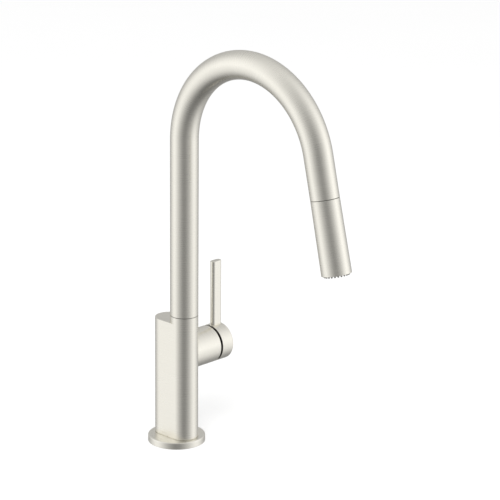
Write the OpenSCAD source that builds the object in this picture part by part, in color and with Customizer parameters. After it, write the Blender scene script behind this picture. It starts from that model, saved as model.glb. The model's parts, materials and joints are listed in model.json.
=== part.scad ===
// Pull down kitchen faucet with a side lever.
// Origin: centre of the foot plate's underside, on the deck. +Z up, spout towards -Y, lever on +X.

/* [Spout] */
// Outside diameter of the spout tube; the column's round sides are flush with it
tube_d = 28.6; // [27.6:0.1:30]
// Wall of the spout tube
tube_wall = 1.3; // [1:0.1:1.6]
// Radius of the arch at the tube's centre line
arch_r = 91.6; // [80:0.1:110]
// Height of the arch's centre above the deck
arch_z = 320.5; // [280:0.5:360]
// Angle between the spout's tip and the vertical
tip_tilt = 13.1; // [6:0.1:20]
// Straight run of the spout from the arch to the wand
tip_len = 41.5; // [40:0.5:60]

/* [Column] */
// Distance from the column's middle to the centre of each round side
column_half = 10.8; // [10:0.1:13]
// Height of the step at the column's rear top
shelf_z = 130.5; // [126:0.5:136]
// Height of the seam between column and spout
seam_z = 137.5; // [137:0.5:150]
// Height of the visible gap in that seam
seam_gap = 0.5; // [0.3:0.1:0.8]
// Length of the spout's bearing bore in the column
bearing_len = 25.5; // [24:0.5:26]
// Wall of the column around that bore
bearing_wall = 2.0; // [1.8:0.1:2.2]

/* [Foot and deck clamp] */
// Diameter of the foot plate
foot_d = 58.2; // [57:0.2:66]
// Thickness of the foot plate
foot_t = 7; // [6.5:0.1:9]
// Radius of the foot plate's upper edge
foot_edge = 1.2; // [0.5:0.1:2]
// Depth of the seat that the column stands in
seat_depth = 1.5; // [1:0.1:1.8]
// Inset of that seat from the column's outline
seat_inset = 1; // [0.8:0.1:1.2]
// Depth of the gasket's groove in the underside
gasket_t = 1.4; // [1:0.1:2]
// Width of the gasket
gasket_w = 2.2; // [1.6:0.1:2.4]
// Distance of the gasket's groove from the foot plate's edge
gasket_edge = 1; // [0.8:0.1:1.5]
// Thread diameter of the column's screws
base_screw_d = 4; // [3.5:0.5:4]
// Length of the column's screws inside the column
base_screw_len = 10; // [8:0.5:12]
// Diameter of the mounting shank where it passes the deck
shank_d = 33.2; // [33.1:0.1:33.6]
// Diameter of the threads at both of its ends
shank_thread_d = 32.8; // [32.6:0.1:33]
// Bore of the mounting shank
shank_bore = 29.4; // [29.2:0.1:29.8]
// Length of the mounting shank below the deck
shank_len = 62; // [58:1:80]
// Depth of the shank's seat in the foot plate
shank_seat = 4; // [3:0.1:4]
// Depth of the recess that takes the shank's shoulder
shank_recess = 0.5; // [0.3:0.1:1]
// Deck thickness that the clamp is drawn for
deck_t = 30; // [20:1:34]
// Diameter of the washers
washer_d = 54; // [50:1:60]
// Thickness of the rubber washer
rubber_t = 3; // [2:0.5:4]
// Thickness of the steel washer
steel_t = 2; // [1.5:0.5:3]
// Diameter of the mounting nut
nut_d = 52; // [50:1:58]
// Height of the mounting nut
nut_h = 9; // [8:0.5:12]
// Gap that the jack screws bridge between nut and washer
jack_gap = 4; // [3:0.5:6]
// Thread diameter of the jack screws
jack_d = 5; // [4:0.5:5]

/* [Water ports] */
// Tapping bore of the port threads
port_bore = 7; // [6:0.5:7]
// Depth of the port threads
port_depth = 9; // [7:0.5:12]
// Distance of the hot and cold ports to each side
supply_x = 6.9; // [6.6:0.1:7]
// Distance of the hot and cold ports behind the middle
supply_y = 3.2; // [3:0.1:3.6]
// Distance of the mixed water port behind the middle
mixed_y = 10.2; // [9.8:0.1:10.3]
// Bore of the water passages
passage_d = 4.4; // [3.6:0.1:4.4]
// Height of the hot port in the cartridge's floor, from the barrel's axis
hot_dz = -5.7; // [-6.5:0.1:-5]
// Height of the cold port in the cartridge's floor, from the barrel's axis
cold_dz = 4.8; // [4:0.1:5.5]

/* [Handle barrel] */
// Diameter of the barrel and the handle cap
barrel_d = 38.2; // [36.8:0.1:38.4]
// Height of the barrel's axis above the deck
barrel_z = 91.8; // [84:0.2:92.6]
// Distance of the barrel's axis behind the column's middle
barrel_y = 2; // [1:0.1:3]
// Distance of the barrel's end from the column's middle
barrel_end = 47; // [46:0.5:49]
// Distance of the cartridge's floor from the column's middle
floor_x = 9.5; // [9:0.1:10]
// Diameter of the cartridge's chamber
chamber_d = 28; // [27:0.2:28.4]
// Thread diameter of the retaining nut
ring_nut_d = 32.4; // [32:0.1:33]
// Length of the retaining nut
ring_nut_len = 8; // [6:0.5:9]

/* [Cartridge] */
// Length of the cartridge's housing
housing_len = 26.5; // [26:0.5:28]
// Wall of the housing
housing_wall = 1.6; // [1.2:0.1:1.8]
// Thickness of the port seal
seal_t = 2; // [1.5:0.1:2.5]
// Thickness of each ceramic disc
disc_t = 3.5; // [3:0.1:4]
// Diameter of the moving disc
moving_disc_d = 16; // [15:0.2:16.4]
// Distance of the stem's pin inside the barrel's end
pin_depth = 17.5; // [16.5:0.5:18]
// Diameter of the stem's pin
pin_d = 3; // [2.5:0.1:3]
// Diameter of the stem
stem_d = 7; // [6:0.2:7]
// Diameter of the stem's ball end
ball_d = 4; // [3.4:0.2:4.4]

/* [Handle] */
// Gap between barrel and cap, where the black ring shows
cap_gap = 2.8; // [2:0.1:3]
// Length of the cap
cap_len = 15.5; // [14:0.5:18]
// Wall of the cap at its rim
cap_wall = 2; // [1.6:0.1:2.1]
// Depth of the cap's hollow
cap_hollow = 6; // [6:0.5:7]
// Radius of the cap's outer edge
cap_edge = 1.5; // [1:0.1:3]
// Width of the lever, away from the column
lever_w = 13.2; // [10:0.1:13.4]
// Thickness of the lever, front to back; its narrow sides are half round
lever_t = 6.5; // [6:0.1:8]
// Height of the lever's top above the deck
lever_top = 179; // [160:1:190]
// Diameter of the set screw
set_screw_d = 4; // [3:0.5:5]

/* [Hose] */
// Outside diameter of the hose
hose_d = 12.6; // [11.8:0.1:12.8]
// Distance of the hose in front of the middle, at the deck
hose_y = 7.7; // [7.4:0.1:7.9]
// Height of the bend where the hose turns straight down
hose_bend_z = 12; // [8:1:20]
// Diameter of the hose's crimped sleeve
ferrule_d = 14.6; // [14.2:0.2:15]
// Length of the hose's crimped sleeve
ferrule_len = 10; // [8:0.5:12]
// Size across the flats of the hose's nut
hose_nut_af = 14; // [13.4:0.2:14]
// Length of the hose's nut
hose_nut_len = 12; // [11:0.5:13]
// Length of the coupling at the shank's mouth
coupling_len = 16; // [12:1:24]

/* [Spray wand] */
// Length of the wand
wand_len = 73.2; // [68:0.1:80]
// Diameter of the wand at its lower end
wand_end_d = 29.8; // [29.4:0.1:31]
// Wall of the wand's shell
wand_wall = 1.4; // [1.2:0.1:1.6]
// Height of the seam between spout and wand
wand_gap = 0.5; // [0.3:0.1:0.8]
// Length of the wand's plug inside the spout
dock_len = 12; // [10:0.5:13]
// Diameter of the wand's plug inside the spout
dock_d = 22; // [21.6:0.1:22.2]
// Wall of the plug
dock_wall = 2.7; // [2.5:0.1:2.7]
// Height of each docking magnet
magnet_h = 3; // [2:0.5:4]
// Gap between the two docking magnets
magnet_gap = 0.4; // [0.3:0.1:0.6]
// Diameter of the waterway's nipple
nipple_d = 10; // [9:0.2:10]
// Bore of the waterway
water_bore = 6; // [5:0.2:6.4]
// Number of rubber nozzles in the outer ring
nozzle_count = 24; // [16:1:24]
// Turn of the nozzle ring, in degrees
nozzle_turn = 5.2; // [0:0.2:15]
// Diameter of a rubber nozzle
nozzle_d = 2; // [1.6:0.1:2.2]
// Length of a nozzle beyond the spray face
nozzle_out = 2.3; // [1.2:0.1:2.4]
// Depth of the spray face inside the wand's rim
face_inset = 0.7; // [0.5:0.1:1.2]
// Diameter of the aerator
aerator_d = 13; // [11:0.5:14]
// Distance of the button's centre below the wand's top
button_z = 31; // [28:1:36]
// Width of the spray button
button_w = 9; // [8:0.2:10]
// Length of the spray button
button_len = 19; // [16:0.5:22]
// Height of the button above the shell
button_proud = 1.1; // [0.8:0.1:1.4]
// Travel of the spray button
button_travel = 1.5; // [1:0.1:1.6]

/* [Fits] */
// Radial play of a shaft or slide in its bore
run_fit = 0.1; // [0.05:0.01:0.15]
// Radial play of pieces that are screwed or pressed together
seat_fit = 0.05; // [0.02:0.01:0.08]
// Free space between moving pieces that don't guide each other
air = 0.3; // [0.3:0.05:0.4]

/* [Hidden] */
$fn = 96;
eps = 0.01;
lap = 1.5;
lap_step = 0.05;
nickel = "#c9c6bc";
brass = "#c9a64f";
steel = "#b9bcc0";
black = "#1c1c1e";
grey = "#8d9094";
rubber = "#2b2b2d";
ceramic = "#eceae4";

tube_r = tube_d / 2;
tube_in = tube_r - tube_wall;
spout_y = -column_half;
spout_z = seam_z + seam_gap;
tip_y = spout_y - arch_r * (1 + cos(tip_tilt)) - tip_len * sin(tip_tilt);
tip_z = arch_z + arch_r * sin(tip_tilt) - tip_len * cos(tip_tilt);

seat_z = foot_t - seat_depth;
shank_r = shank_d / 2;
thread_r = shank_thread_d / 2;
shank_in = shank_bore / 2;
screw_head_d = 1.6 * base_screw_d;
screw_head_h = 0.7 * base_screw_d;
groove_r = foot_d / 2 - gasket_edge;
base_screw_y = (thread_r + groove_r - gasket_w) / 2;
washer_z = -deck_t - rubber_t;
steel_z = washer_z - steel_t;
nut_z = steel_z - jack_gap - nut_h;
jack_x = (nut_d / 2 + thread_r) / 2;

bearing_r = tube_r - bearing_wall;
bearing_z = seam_z - bearing_len;
bushing_wall = 1.3;
spigot_r = bearing_r - bushing_wall - run_fit;
spigot_wall = 1.5;
spigot_in = spigot_r - spigot_wall;
spigot_up = 18;
clip_t = 1;
bushing_len = 6;

barrel_r = barrel_d / 2;
chamber_r = chamber_d / 2;
housing_r = chamber_r - run_fit;
housing_in = housing_r - housing_wall;
housing_end = floor_x + housing_len;
ring_nut_r = ring_nut_d / 2;
port_z = floor_x + seal_t;
disc_z = port_z + disc_t;
rotor_z = disc_z + disc_t + run_fit;
pin_x = barrel_end - pin_depth;
stem_hole_r = housing_in - 1.6;
nut_hole_r = stem_hole_r + 0.6;

rim_x = barrel_end + cap_gap;
cap_in = barrel_r - cap_wall;
rim_reach = norm([rim_x - pin_x, cap_in]);
dome_r = rim_reach - 1.15;
dome_hole_r = 12.4;
hollow_x = rim_x + cap_hollow;
cap_x = rim_x + cap_len;
stem_len = cap_x - pin_x - 3;
lever_x = rim_x + (cap_len - lever_w) / 2;
stud_x = hollow_x + set_screw_d / 2 + 1;
stud_z = stem_d / 2 + 4;

hose_r = hose_d / 2;
channel_r = hose_r + 0.9;
hose_top_z = bearing_z - 2;
hose_lean = atan2(column_half - hose_y, hose_top_z - hose_bend_z);

wand_top = -wand_gap;
wand_bottom = wand_top - wand_len;
wand_r = tube_r;
wand_end_r = wand_end_d / 2;
wand_in = wand_r - wand_wall;
dock_r = dock_d / 2;
dock_in = dock_r - dock_wall;
collar_r = dock_r + run_fit;
dock_magnet_z = dock_len + magnet_gap;
plug_h = 6;
face_t = 1.3;
face_z = wand_bottom + face_inset;
membrane_t = 1.5;
holder_t = 8;
holder_z = face_z + face_t + membrane_t;
face_r = wand_end_r - wand_wall - 0.15;
nozzle_ring_r = face_r - nozzle_d / 2 - 0.2;
ferrule_z = hose_nut_len + 2;
mid_r = wand_r + (wand_end_r - wand_r) * button_z / wand_len;
boss_r = 4.2;
spool_r = 2;
nipple_z = 7;
valve_d = water_bore + 1.4;
valve_z = wand_top - 8;
valve_len = 10;
aerator_wall = 1.2;

// ---------- frames ----------

// The spout's swivel axis, z up
module at_spout() {
    translate([0, spout_y, 0]) children();
}

// The arch's centre: x points to the rear, y up, z along the arch's own axis
module at_arch() {
    translate([0, spout_y - arch_r, arch_z]) rotate([90, 0, 90]) children();
}

// The spout's tip: origin where the tube ends, z back up the tube
module at_tip() {
    translate([0, tip_y, tip_z]) rotate([-tip_tilt, 0, 0]) children();
}

// The barrel's axis: z is the distance from the column's middle, x points down
module at_barrel() {
    translate([0, barrel_y, barrel_z]) rotate([0, 90, 0]) children();
}

// ---------- shared shapes ----------

// Ring or tube from z0 to z1
module ring(outer, inner, z0, z1) {
    translate([0, 0, z0]) difference() {
        cylinder(r = outer, h = z1 - z0);
        translate([0, 0, -1]) cylinder(r = inner, h = z1 - z0 + 2);
    }
}

// The column's flat-sided outline, shrunk by inset
module stadium(inset = 0) {
    r = tube_r - inset;
    square([2 * r, 2 * column_half], center = true);
    for (side = [-1, 1])
        translate([0, side * column_half]) circle(r = r);
}

// A round bar that follows the spout from z0 to z1 above the tip; its straight ends have the radius end_r
// and lap a little into the arch
module spout_bar(r, end_r, z0, z1) {
    at_spout() translate([0, 0, z0]) cylinder(r = end_r, h = arch_z + lap - z0);
    at_arch() rotate_extrude(angle = 180 - tip_tilt) translate([arch_r, 0]) circle(r = r);
    at_tip() translate([0, 0, z1]) cylinder(r = end_r, h = tip_len + lap - z1);
}

// The sloping stretch of the hose inside the column, from the deck's bend upwards
module hose_slope(r, extra = 0) {
    translate([0, -hose_y, hose_bend_z]) rotate([hose_lean, 0, 0])
        cylinder(r = r, h = (hose_top_z - hose_bend_z) / cos(hose_lean) + extra);
}

// Places in the cartridge's floor, in the barrel's frame: hot, cold and mixed water
module at_ports() {
    translate([-hot_dz, supply_y - barrel_y, 0]) children();
    translate([-cold_dz, supply_y - barrel_y, 0]) children();
    translate([0, mixed_y - barrel_y, 0]) children();
}

// Two places for the column's screws
module at_base_screws() {
    for (side = [-1, 1])
        translate([0, side * base_screw_y, 0]) children();
}

// A flat oval bar along y, as wide as w and as long as len along z
module oval(w, len, y0, y1) {
    translate([0, y0, 0]) rotate([-90, 0, 0]) linear_extrude(y1 - y0) {
        square([w, len - w], center = true);
        for (side = [-1, 1])
            translate([0, side * (len - w) / 2]) circle(r = w / 2);
    }
}

// ---------- column and foot ----------

module faucet_body() {
    color(nickel) difference() {
        union() {
            translate([-tube_r, -column_half, foot_t]) cube([tube_d, 2 * column_half, shelf_z - foot_t]);
            translate([0, column_half, foot_t]) cylinder(r = tube_r, h = shelf_z - foot_t);
            at_spout() translate([0, 0, foot_t]) cylinder(r = tube_r, h = seam_z - foot_t);
            translate([0, 0, seat_z]) linear_extrude(seat_depth + 1) stadium(seat_inset);
            at_barrel() translate([0, 0, floor_x - 3]) cylinder(r = barrel_r, h = barrel_end - floor_x + 3);
        }
        spout_bore();
        hose_channel();
        cartridge_bore();
        water_passages();
        at_base_screws() translate([0, 0, seat_z - 1]) cylinder(d = base_screw_d, h = base_screw_len + 3);
    }
}

module spout_bore() {
    at_spout() translate([0, 0, bearing_z]) cylinder(r = bearing_r, h = bearing_len + 1);
}

module hose_channel() {
    hose_slope(channel_r, 3);
    translate([0, -hose_y, seat_z - 1]) cylinder(r = channel_r + air, h = hose_bend_z - seat_z + 3);
}

module cartridge_bore() {
    at_barrel() {
        translate([0, 0, floor_x]) cylinder(r = chamber_r, h = barrel_end - floor_x + 1);
        translate([0, 0, housing_end]) cylinder(r = ring_nut_r + seat_fit, h = barrel_end - housing_end + 1);
    }
}

module water_passages() {
    passage(supply_x, supply_y, barrel_z + hot_dz);
    passage(-supply_x, supply_y, barrel_z + cold_dz);
    passage(0, mixed_y, barrel_z);
}

// One passage: threaded port below, bore up the column, then across to the cartridge's floor
module passage(x, y, z) {
    translate([x, y, seat_z - 1]) cylinder(d = port_bore, h = port_depth + 1);
    translate([x, y, seat_z]) cylinder(d = passage_d, h = z + passage_d / 4 - seat_z);
    translate([x - passage_d / 4, y, z]) rotate([0, 90, 0])
        cylinder(d = passage_d - lap_step, h = floor_x - x + passage_d / 4 + eps);
}

module base_flange() {
    color(nickel) difference() {
        rotate_extrude() {
            square([foot_d / 2, foot_t - foot_edge]);
            square([foot_d / 2 - foot_edge, foot_t]);
            translate([foot_d / 2 - foot_edge, foot_t - foot_edge]) circle(r = foot_edge);
        }
        translate([0, 0, seat_z]) linear_extrude(foot_t) stadium(seat_inset - seat_fit);
        translate([0, 0, -1]) cylinder(r = thread_r + seat_fit, h = shank_seat + 1);
        translate([0, 0, -1]) cylinder(r = shank_r + seat_fit, h = shank_recess + 1);
        translate([0, 0, -1]) cylinder(r = shank_in, h = foot_t + 2);
        ring(groove_r, groove_r - gasket_w - 2 * seat_fit, -1, gasket_t);
        at_base_screws() translate([0, 0, -1]) {
            cylinder(d = base_screw_d + 2 * run_fit, h = foot_t + 2);
            cylinder(d = screw_head_d + 2 * run_fit, h = screw_head_h + 1 + run_fit);
        }
    }
}

module base_screws() {
    color(steel) at_base_screws() difference() {
        union() {
            cylinder(d = base_screw_d - 2 * seat_fit, h = seat_z + base_screw_len);
            cylinder(d = screw_head_d, h = screw_head_h);
        }
        translate([0, 0, -1]) cylinder(d = base_screw_d * 0.75, h = 2.6, $fn = 6);
    }
}

module deck_gasket() {
    color(rubber) ring(groove_r - seat_fit, groove_r - gasket_w - seat_fit, 0, gasket_t);
}

module mounting_shank() {
    color(brass) difference() {
        union() {
            translate([0, 0, -shank_len]) cylinder(r = thread_r, h = shank_len + shank_seat);
            translate([0, 0, -deck_t]) cylinder(r = shank_r, h = deck_t + shank_recess);
        }
        translate([0, 0, -shank_len - 1]) cylinder(r = shank_in, h = shank_len + shank_seat + 2);
    }
}

module rubber_washer() {
    color(rubber) ring(washer_d / 2, thread_r + seat_fit, washer_z, -deck_t);
}

module steel_washer() {
    color(steel) ring(washer_d / 2, thread_r + seat_fit, steel_z, washer_z);
}

module mounting_nut() {
    color(brass) difference() {
        ring(nut_d / 2, thread_r + seat_fit, nut_z, nut_z + nut_h);
        at_jack_screws() translate([0, 0, nut_z - 1]) cylinder(d = jack_d, h = nut_h + 2);
        for (turn = [0 : 60 : 300])
            rotate(turn + 30) translate([nut_d / 2 + 2.5, 0, nut_z - 1]) cylinder(r = 5, h = nut_h + 2);
    }
}

module at_jack_screws() {
    for (side = [-1, 1])
        translate([side * jack_x, 0, 0]) children();
}

module jack_screws() {
    head_h = 4;
    color(steel) at_jack_screws() difference() {
        union() {
            translate([0, 0, nut_z - 3]) cylinder(d = jack_d - 2 * seat_fit, h = steel_z - nut_z + 3);
            translate([0, 0, nut_z - 3 - head_h]) cylinder(d = 1.6 * jack_d, h = head_h);
        }
        translate([0, 0, nut_z - 4 - head_h]) cylinder(d = jack_d * 0.9, h = 3, $fn = 6);
    }
}

// ---------- cartridge ----------

module cartridge_housing() {
    color(black) at_barrel() difference() {
        translate([0, 0, floor_x]) cylinder(r = housing_r, h = housing_len);
        translate([0, 0, floor_x - 1]) cylinder(r = housing_in, h = housing_len - 1.5);
        translate([0, 0, floor_x]) cylinder(r = stem_hole_r, h = housing_len + 1);
    }
}

module base_seal() {
    color(rubber) at_barrel() difference() {
        translate([0, 0, floor_x]) cylinder(r = housing_in - seat_fit, h = seal_t);
        at_ports() translate([0, 0, floor_x - 1]) cylinder(d = passage_d, h = seal_t + 2);
    }
}

module fixed_disc() {
    color(ceramic) at_barrel() difference() {
        translate([0, 0, port_z]) cylinder(r = housing_in - seat_fit, h = disc_t);
        at_ports() translate([0, 0, port_z - 1]) cylinder(d = passage_d, h = disc_t + 2);
    }
}

module moving_disc() {
    color(ceramic) at_barrel() difference() {
        translate([0, 0, disc_z + seat_fit]) cylinder(d = moving_disc_d, h = disc_t - 2 * seat_fit);
        translate([0, 0, disc_z]) cylinder(d = moving_disc_d * 0.7, h = disc_t * 0.4);
        translate([0, 0, disc_z + disc_t * 0.55]) cylinder(d = ball_d + 2 * air, h = disc_t);
    }
}

module stem_rotor() {
    slot_w = stem_d + 2 * run_fit;
    slot_len = stem_d + 2 * (housing_end - pin_x) * tan(20) + 2 * air;
    color(grey) at_barrel() difference() {
        union() {
            translate([0, 0, rotor_z + air])
                cylinder(r = housing_in - run_fit, h = housing_end - 2.5 - run_fit - rotor_z - air);
            translate([0, 0, rotor_z + air])
                cylinder(r = stem_hole_r - run_fit, h = housing_end - rotor_z - air);
        }
        translate([-slot_len / 2, -slot_w / 2, rotor_z]) cube([slot_len, slot_w, housing_len]);
        translate([0, -housing_r, pin_x]) rotate([-90, 0, 0]) cylinder(d = pin_d + 2 * seat_fit, h = 2 * housing_r);
    }
}

module stem_pin() {
    pin_half = housing_in - 1;
    color(steel) at_barrel() translate([0, -pin_half, pin_x]) rotate([-90, 0, 0])
        cylinder(d = pin_d, h = 2 * pin_half);
}

module retaining_nut() {
    color(brass) at_barrel() difference() {
        translate([0, 0, housing_end]) cylinder(r = ring_nut_r, h = ring_nut_len);
        translate([0, 0, housing_end - 1]) cylinder(r = nut_hole_r, h = ring_nut_len + 2);
        for (turn = [0 : 90 : 270])
            rotate(turn) translate([nut_hole_r - 1, -1.5, housing_end + ring_nut_len - 2]) cube([4, 3, 3]);
    }
}

module glide_ring() {
    color(black) at_barrel() difference() {
        union() {
            intersection() {
                translate([0, 0, pin_x]) sphere(r = dome_r);
                translate([0, 0, barrel_end]) cylinder(r = barrel_r - 1, h = dome_r);
            }
            translate([0, 0, housing_end + ring_nut_len])
                cylinder(r = ring_nut_r - seat_fit, h = barrel_end - housing_end - ring_nut_len);
        }
        translate([0, 0, housing_end]) cylinder(r = dome_hole_r, h = 3 * dome_r);
    }
}

// ---------- handle ----------

module valve_stem() {
    neck_x = disc_z + disc_t * 0.55 + air + ball_d / 2;
    color(steel) at_barrel() difference() {
        union() {
            translate([0, 0, pin_x - 3.2]) cylinder(d = stem_d, h = stem_len + 3.2);
            translate([0, 0, neck_x]) cylinder(d = ball_d * 0.7, h = pin_x - neck_x);
            translate([0, 0, neck_x]) sphere(d = ball_d);
        }
        translate([0, -stem_d, pin_x]) rotate([-90, 0, 0]) cylinder(d = pin_d + 2 * run_fit, h = 2 * stem_d);
    }
}

// The cap before it is drilled
module cap_blank() {
    at_barrel() rotate_extrude() {
        translate([0, rim_x]) square([barrel_r, cap_len - cap_edge]);
        translate([0, rim_x]) square([barrel_r - cap_edge, cap_len]);
        translate([barrel_r - cap_edge, cap_x - cap_edge]) circle(r = cap_edge);
    }
}

module handle_cap() {
    color(nickel) difference() {
        cap_blank();
        cap_bores();
    }
}

module cap_bores() {
    at_barrel() {
        translate([0, 0, rim_x - 1]) cylinder(r = cap_in, h = cap_hollow + 1);
        translate([0, 0, rim_x - 1]) cylinder(d = stem_d + 2 * seat_fit, h = stem_len + pin_x - rim_x + 1 + seat_fit);
        translate([-barrel_r, 0, stud_x]) rotate([0, 90, 0])
            cylinder(d = set_screw_d + 2 * seat_fit, h = barrel_r - stud_z);
        translate([stem_d / 2 - 1, 0, stud_x]) rotate([0, 90, 0])
            cylinder(d = set_screw_d, h = barrel_r);
        translate([barrel_r - 2, 0, stud_x]) rotate([0, 90, 0])
            cylinder(d = set_screw_d + 2 + 2 * seat_fit, h = 3);
    }
}

module handle_lever() {
    foot_z = sqrt(barrel_r * barrel_r - lever_t * lever_t / 4) - cap_edge / 2;
    color(nickel) {
        difference() {
            translate([lever_x, barrel_y, barrel_z + foot_z])
                linear_extrude(lever_top - barrel_z - foot_z) lever_outline();
            cap_blank();
        }
        translate([stud_x, barrel_y, barrel_z + stud_z]) cylinder(d = set_screw_d, h = foot_z);
    }
}

// The lever's section, with half-round narrow sides
module lever_outline() {
    half = lever_t / 2;
    translate([half, -half]) square([lever_w - lever_t, lever_t]);
    for (x = [half, lever_w - half])
        translate([x, 0]) circle(r = half);
}

module handle_set_screw() {
    length = 7;
    color(steel) at_barrel() translate([stem_d / 2, 0, stud_x]) rotate([0, 90, 0]) difference() {
        cylinder(d = set_screw_d - 2 * seat_fit, h = length);
        translate([0, 0, length - 2.4]) cylinder(d = set_screw_d * 0.55, h = 3, $fn = 6);
    }
}

module set_screw_plug() {
    color(nickel) at_barrel() intersection() {
        translate([barrel_r - 2, 0, stud_x]) rotate([0, 90, 0]) cylinder(d = set_screw_d + 2, h = 3);
        translate([0, 0, rim_x]) cylinder(r = barrel_r - 0.1, h = cap_len);
    }
}

// ---------- spout ----------

module spout_tube() {
    color(nickel) difference() {
        spout_bar(tube_r, tube_r - lap_step, spout_z, 0);
        spout_bar(tube_in, tube_in + lap_step, spout_z - 1, -1);
    }
}

module spout_spigot() {
    groove_z = bearing_z + bearing_len / 2 - 0.5;
    color(brass) at_spout() difference() {
        union() {
            translate([0, 0, bearing_z + 0.6]) cylinder(r = spigot_r, h = spout_z - bearing_z);
            translate([0, 0, spout_z]) cylinder(r = tube_in - seat_fit, h = spigot_up);
        }
        translate([0, 0, bearing_z]) cylinder(r = spigot_in, h = bearing_len + spigot_up + 5);
        ring(spigot_r + 1, spigot_r - 0.7, groove_z - 1.1, groove_z + 1.1);
        ring(spigot_r + 1, spigot_r - 0.7, bearing_z + 1.4, bearing_z + 1.6 + clip_t);
    }
}

module spigot_o_ring() {
    cord_r = (bearing_r - run_fit - spigot_r + 0.7) / 2;
    groove_z = bearing_z + bearing_len / 2 - 0.5;
    color(rubber) at_spout() translate([0, 0, groove_z])
        rotate_extrude() translate([spigot_r - 0.7 + cord_r, 0]) circle(r = cord_r, $fn = 48);
}

module spigot_clip() {
    color(steel) at_spout() difference() {
        ring(bearing_r - air, spigot_r - 0.7, bearing_z + 1.5, bearing_z + 1.5 + clip_t);
        translate([0, spigot_r - 2, bearing_z + 1]) cube([4, 8, 8], center = true);
    }
}

module lower_bushing() {
    z0 = bearing_z + 1.6 + clip_t + air;
    color(black) at_spout() ring(bearing_r - seat_fit, spigot_r + run_fit, z0, z0 + bushing_len);
}

module upper_bushing() {
    color(black) at_spout() ring(bearing_r - seat_fit, spigot_r + run_fit, seam_z - bushing_len, seam_z - 0.2);
}

module thrust_washer() {
    color(black) at_spout() ring(tube_r - 0.9, spigot_r + run_fit, seam_z, spout_z - 0.05);
}

module docking_collar() {
    color(black) at_tip() ring(tube_in - seat_fit, collar_r, 0.6, dock_magnet_z - 0.05);
}

module dock_magnet() {
    color(steel) at_tip() ring(tube_in - seat_fit, dock_in + 0.2, dock_magnet_z, dock_magnet_z + magnet_h);
}

// ---------- hose ----------

module lower_hose() {
    color(grey) {
        hose_slope(hose_r);
        translate([0, -hose_y, hose_bend_z]) sphere(r = hose_r);
        translate([0, -hose_y, -shank_len]) cylinder(r = hose_r, h = shank_len + hose_bend_z);
    }
}

module hose_coupling() {
    color(brass) translate([0, -hose_y, -shank_len - coupling_len]) {
        cylinder(r = hose_r, h = coupling_len);
        cylinder(r = hose_r + 0.6, h = coupling_len * 0.6, $fn = 6);
    }
}

module upper_hose() {
    color(grey) spout_bar(hose_r, hose_r - lap_step, hose_top_z + air, ferrule_z + ferrule_len);
}

module hose_ferrule() {
    color(steel) at_tip() difference() {
        translate([0, 0, ferrule_z]) cylinder(d = ferrule_d, h = ferrule_len);
        translate([0, 0, ferrule_z + 2]) cylinder(r = hose_r - 1.5, h = ferrule_len);
        translate([0, 0, ferrule_z - 1]) cylinder(d = water_bore - 1, h = ferrule_len);
    }
}

module hose_nut() {
    color(brass) at_tip() difference() {
        union() {
            translate([0, 0, 2]) cylinder(d = hose_nut_af / cos(30), h = hose_nut_len - 2, $fn = 6);
            translate([0, 0, hose_nut_len]) cylinder(d = hose_nut_af, h = ferrule_z - hose_nut_len);
        }
        translate([0, 0, 1]) cylinder(d = nipple_d + 2 * run_fit, h = hose_nut_len - 4);
        translate([0, 0, 1]) cylinder(d = water_bore - 1, h = hose_nut_len + 3);
    }
}

// ---------- spray wand ----------

module wand_shell() {
    color(nickel) at_tip() difference() {
        rotate_extrude() polygon([
            [wand_in, wand_top], [wand_r, wand_top], [wand_end_r, wand_bottom],
            [wand_end_r - wand_wall, wand_bottom]
        ]);
        translate([0, 0, wand_top - button_z]) oval(button_w, button_len, 0, wand_end_r + 1);
    }
}

module docking_insert() {
    color(black) at_tip() difference() {
        union() {
            translate([0, 0, wand_top - plug_h]) cylinder(r = wand_in - seat_fit, h = plug_h);
            translate([0, 0, wand_top - plug_h]) cylinder(r = dock_r, h = plug_h - wand_top + dock_len - magnet_h);
        }
        translate([0, 0, wand_top - 1]) cylinder(r = dock_in, h = dock_len + 2);
        translate([0, 0, wand_top - plug_h - 1]) cylinder(d = nipple_d + 2 * seat_fit, h = plug_h + 1);
    }
}

module wand_magnet() {
    color(steel) at_tip() ring(dock_r, dock_in, dock_len - magnet_h, dock_len);
}

module waterway_core() {
    core_z = holder_z + holder_t;
    block_z = wand_top - button_z;
    color(grey) at_tip() difference() {
        union() {
            translate([0, 0, core_z]) cylinder(d = nipple_d, h = nipple_z - core_z);
            translate([0, 0, core_z]) cylinder(r = wand_in - air, h = 3);
            translate([0, 0, wand_top - plug_h - 2]) cylinder(r = wand_in - air, h = 2);
            translate([0, 0, block_z]) rotate([-90, 0, 0]) cylinder(r = boss_r, h = 9);
        }
        translate([0, 0, core_z - 1]) cylinder(d = water_bore, h = valve_z - core_z + 2);
        translate([0, 0, valve_z]) cylinder(d = valve_d, h = nipple_z - valve_z + 1);
        translate([0, 0, block_z]) rotate([-90, 0, 0]) cylinder(r = spool_r + run_fit, h = 10);
    }
}

module inlet_o_ring() {
    cord_r = 0.9;
    color(rubber) at_tip() translate([0, 0, nipple_z + cord_r])
        rotate_extrude() translate([nipple_d / 2 - cord_r - 0.1, 0]) circle(r = cord_r, $fn = 48);
}

module check_valve() {
    color(black) at_tip() difference() {
        translate([0, 0, valve_z]) cylinder(d = valve_d - 2 * seat_fit, h = valve_len);
        translate([0, 0, valve_z - 1]) cylinder(d = water_bore - 2, h = valve_len + 2);
    }
}

module spray_holder() {
    color(black) at_tip() difference() {
        translate([0, 0, holder_z]) cylinder(r = wand_in, h = holder_t);
        translate([0, 0, holder_z - 1]) cylinder(d = aerator_d + 2 * seat_fit, h = holder_t - 1);
        translate([0, 0, holder_z]) cylinder(d = water_bore, h = holder_t + 1);
        for (i = [0 : nozzle_count - 1])
            rotate(nozzle_turn + i * 360 / nozzle_count) translate([nozzle_ring_r, 0, holder_z - 1]) cylinder(r = 0.6, h = 4);
    }
}

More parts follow.
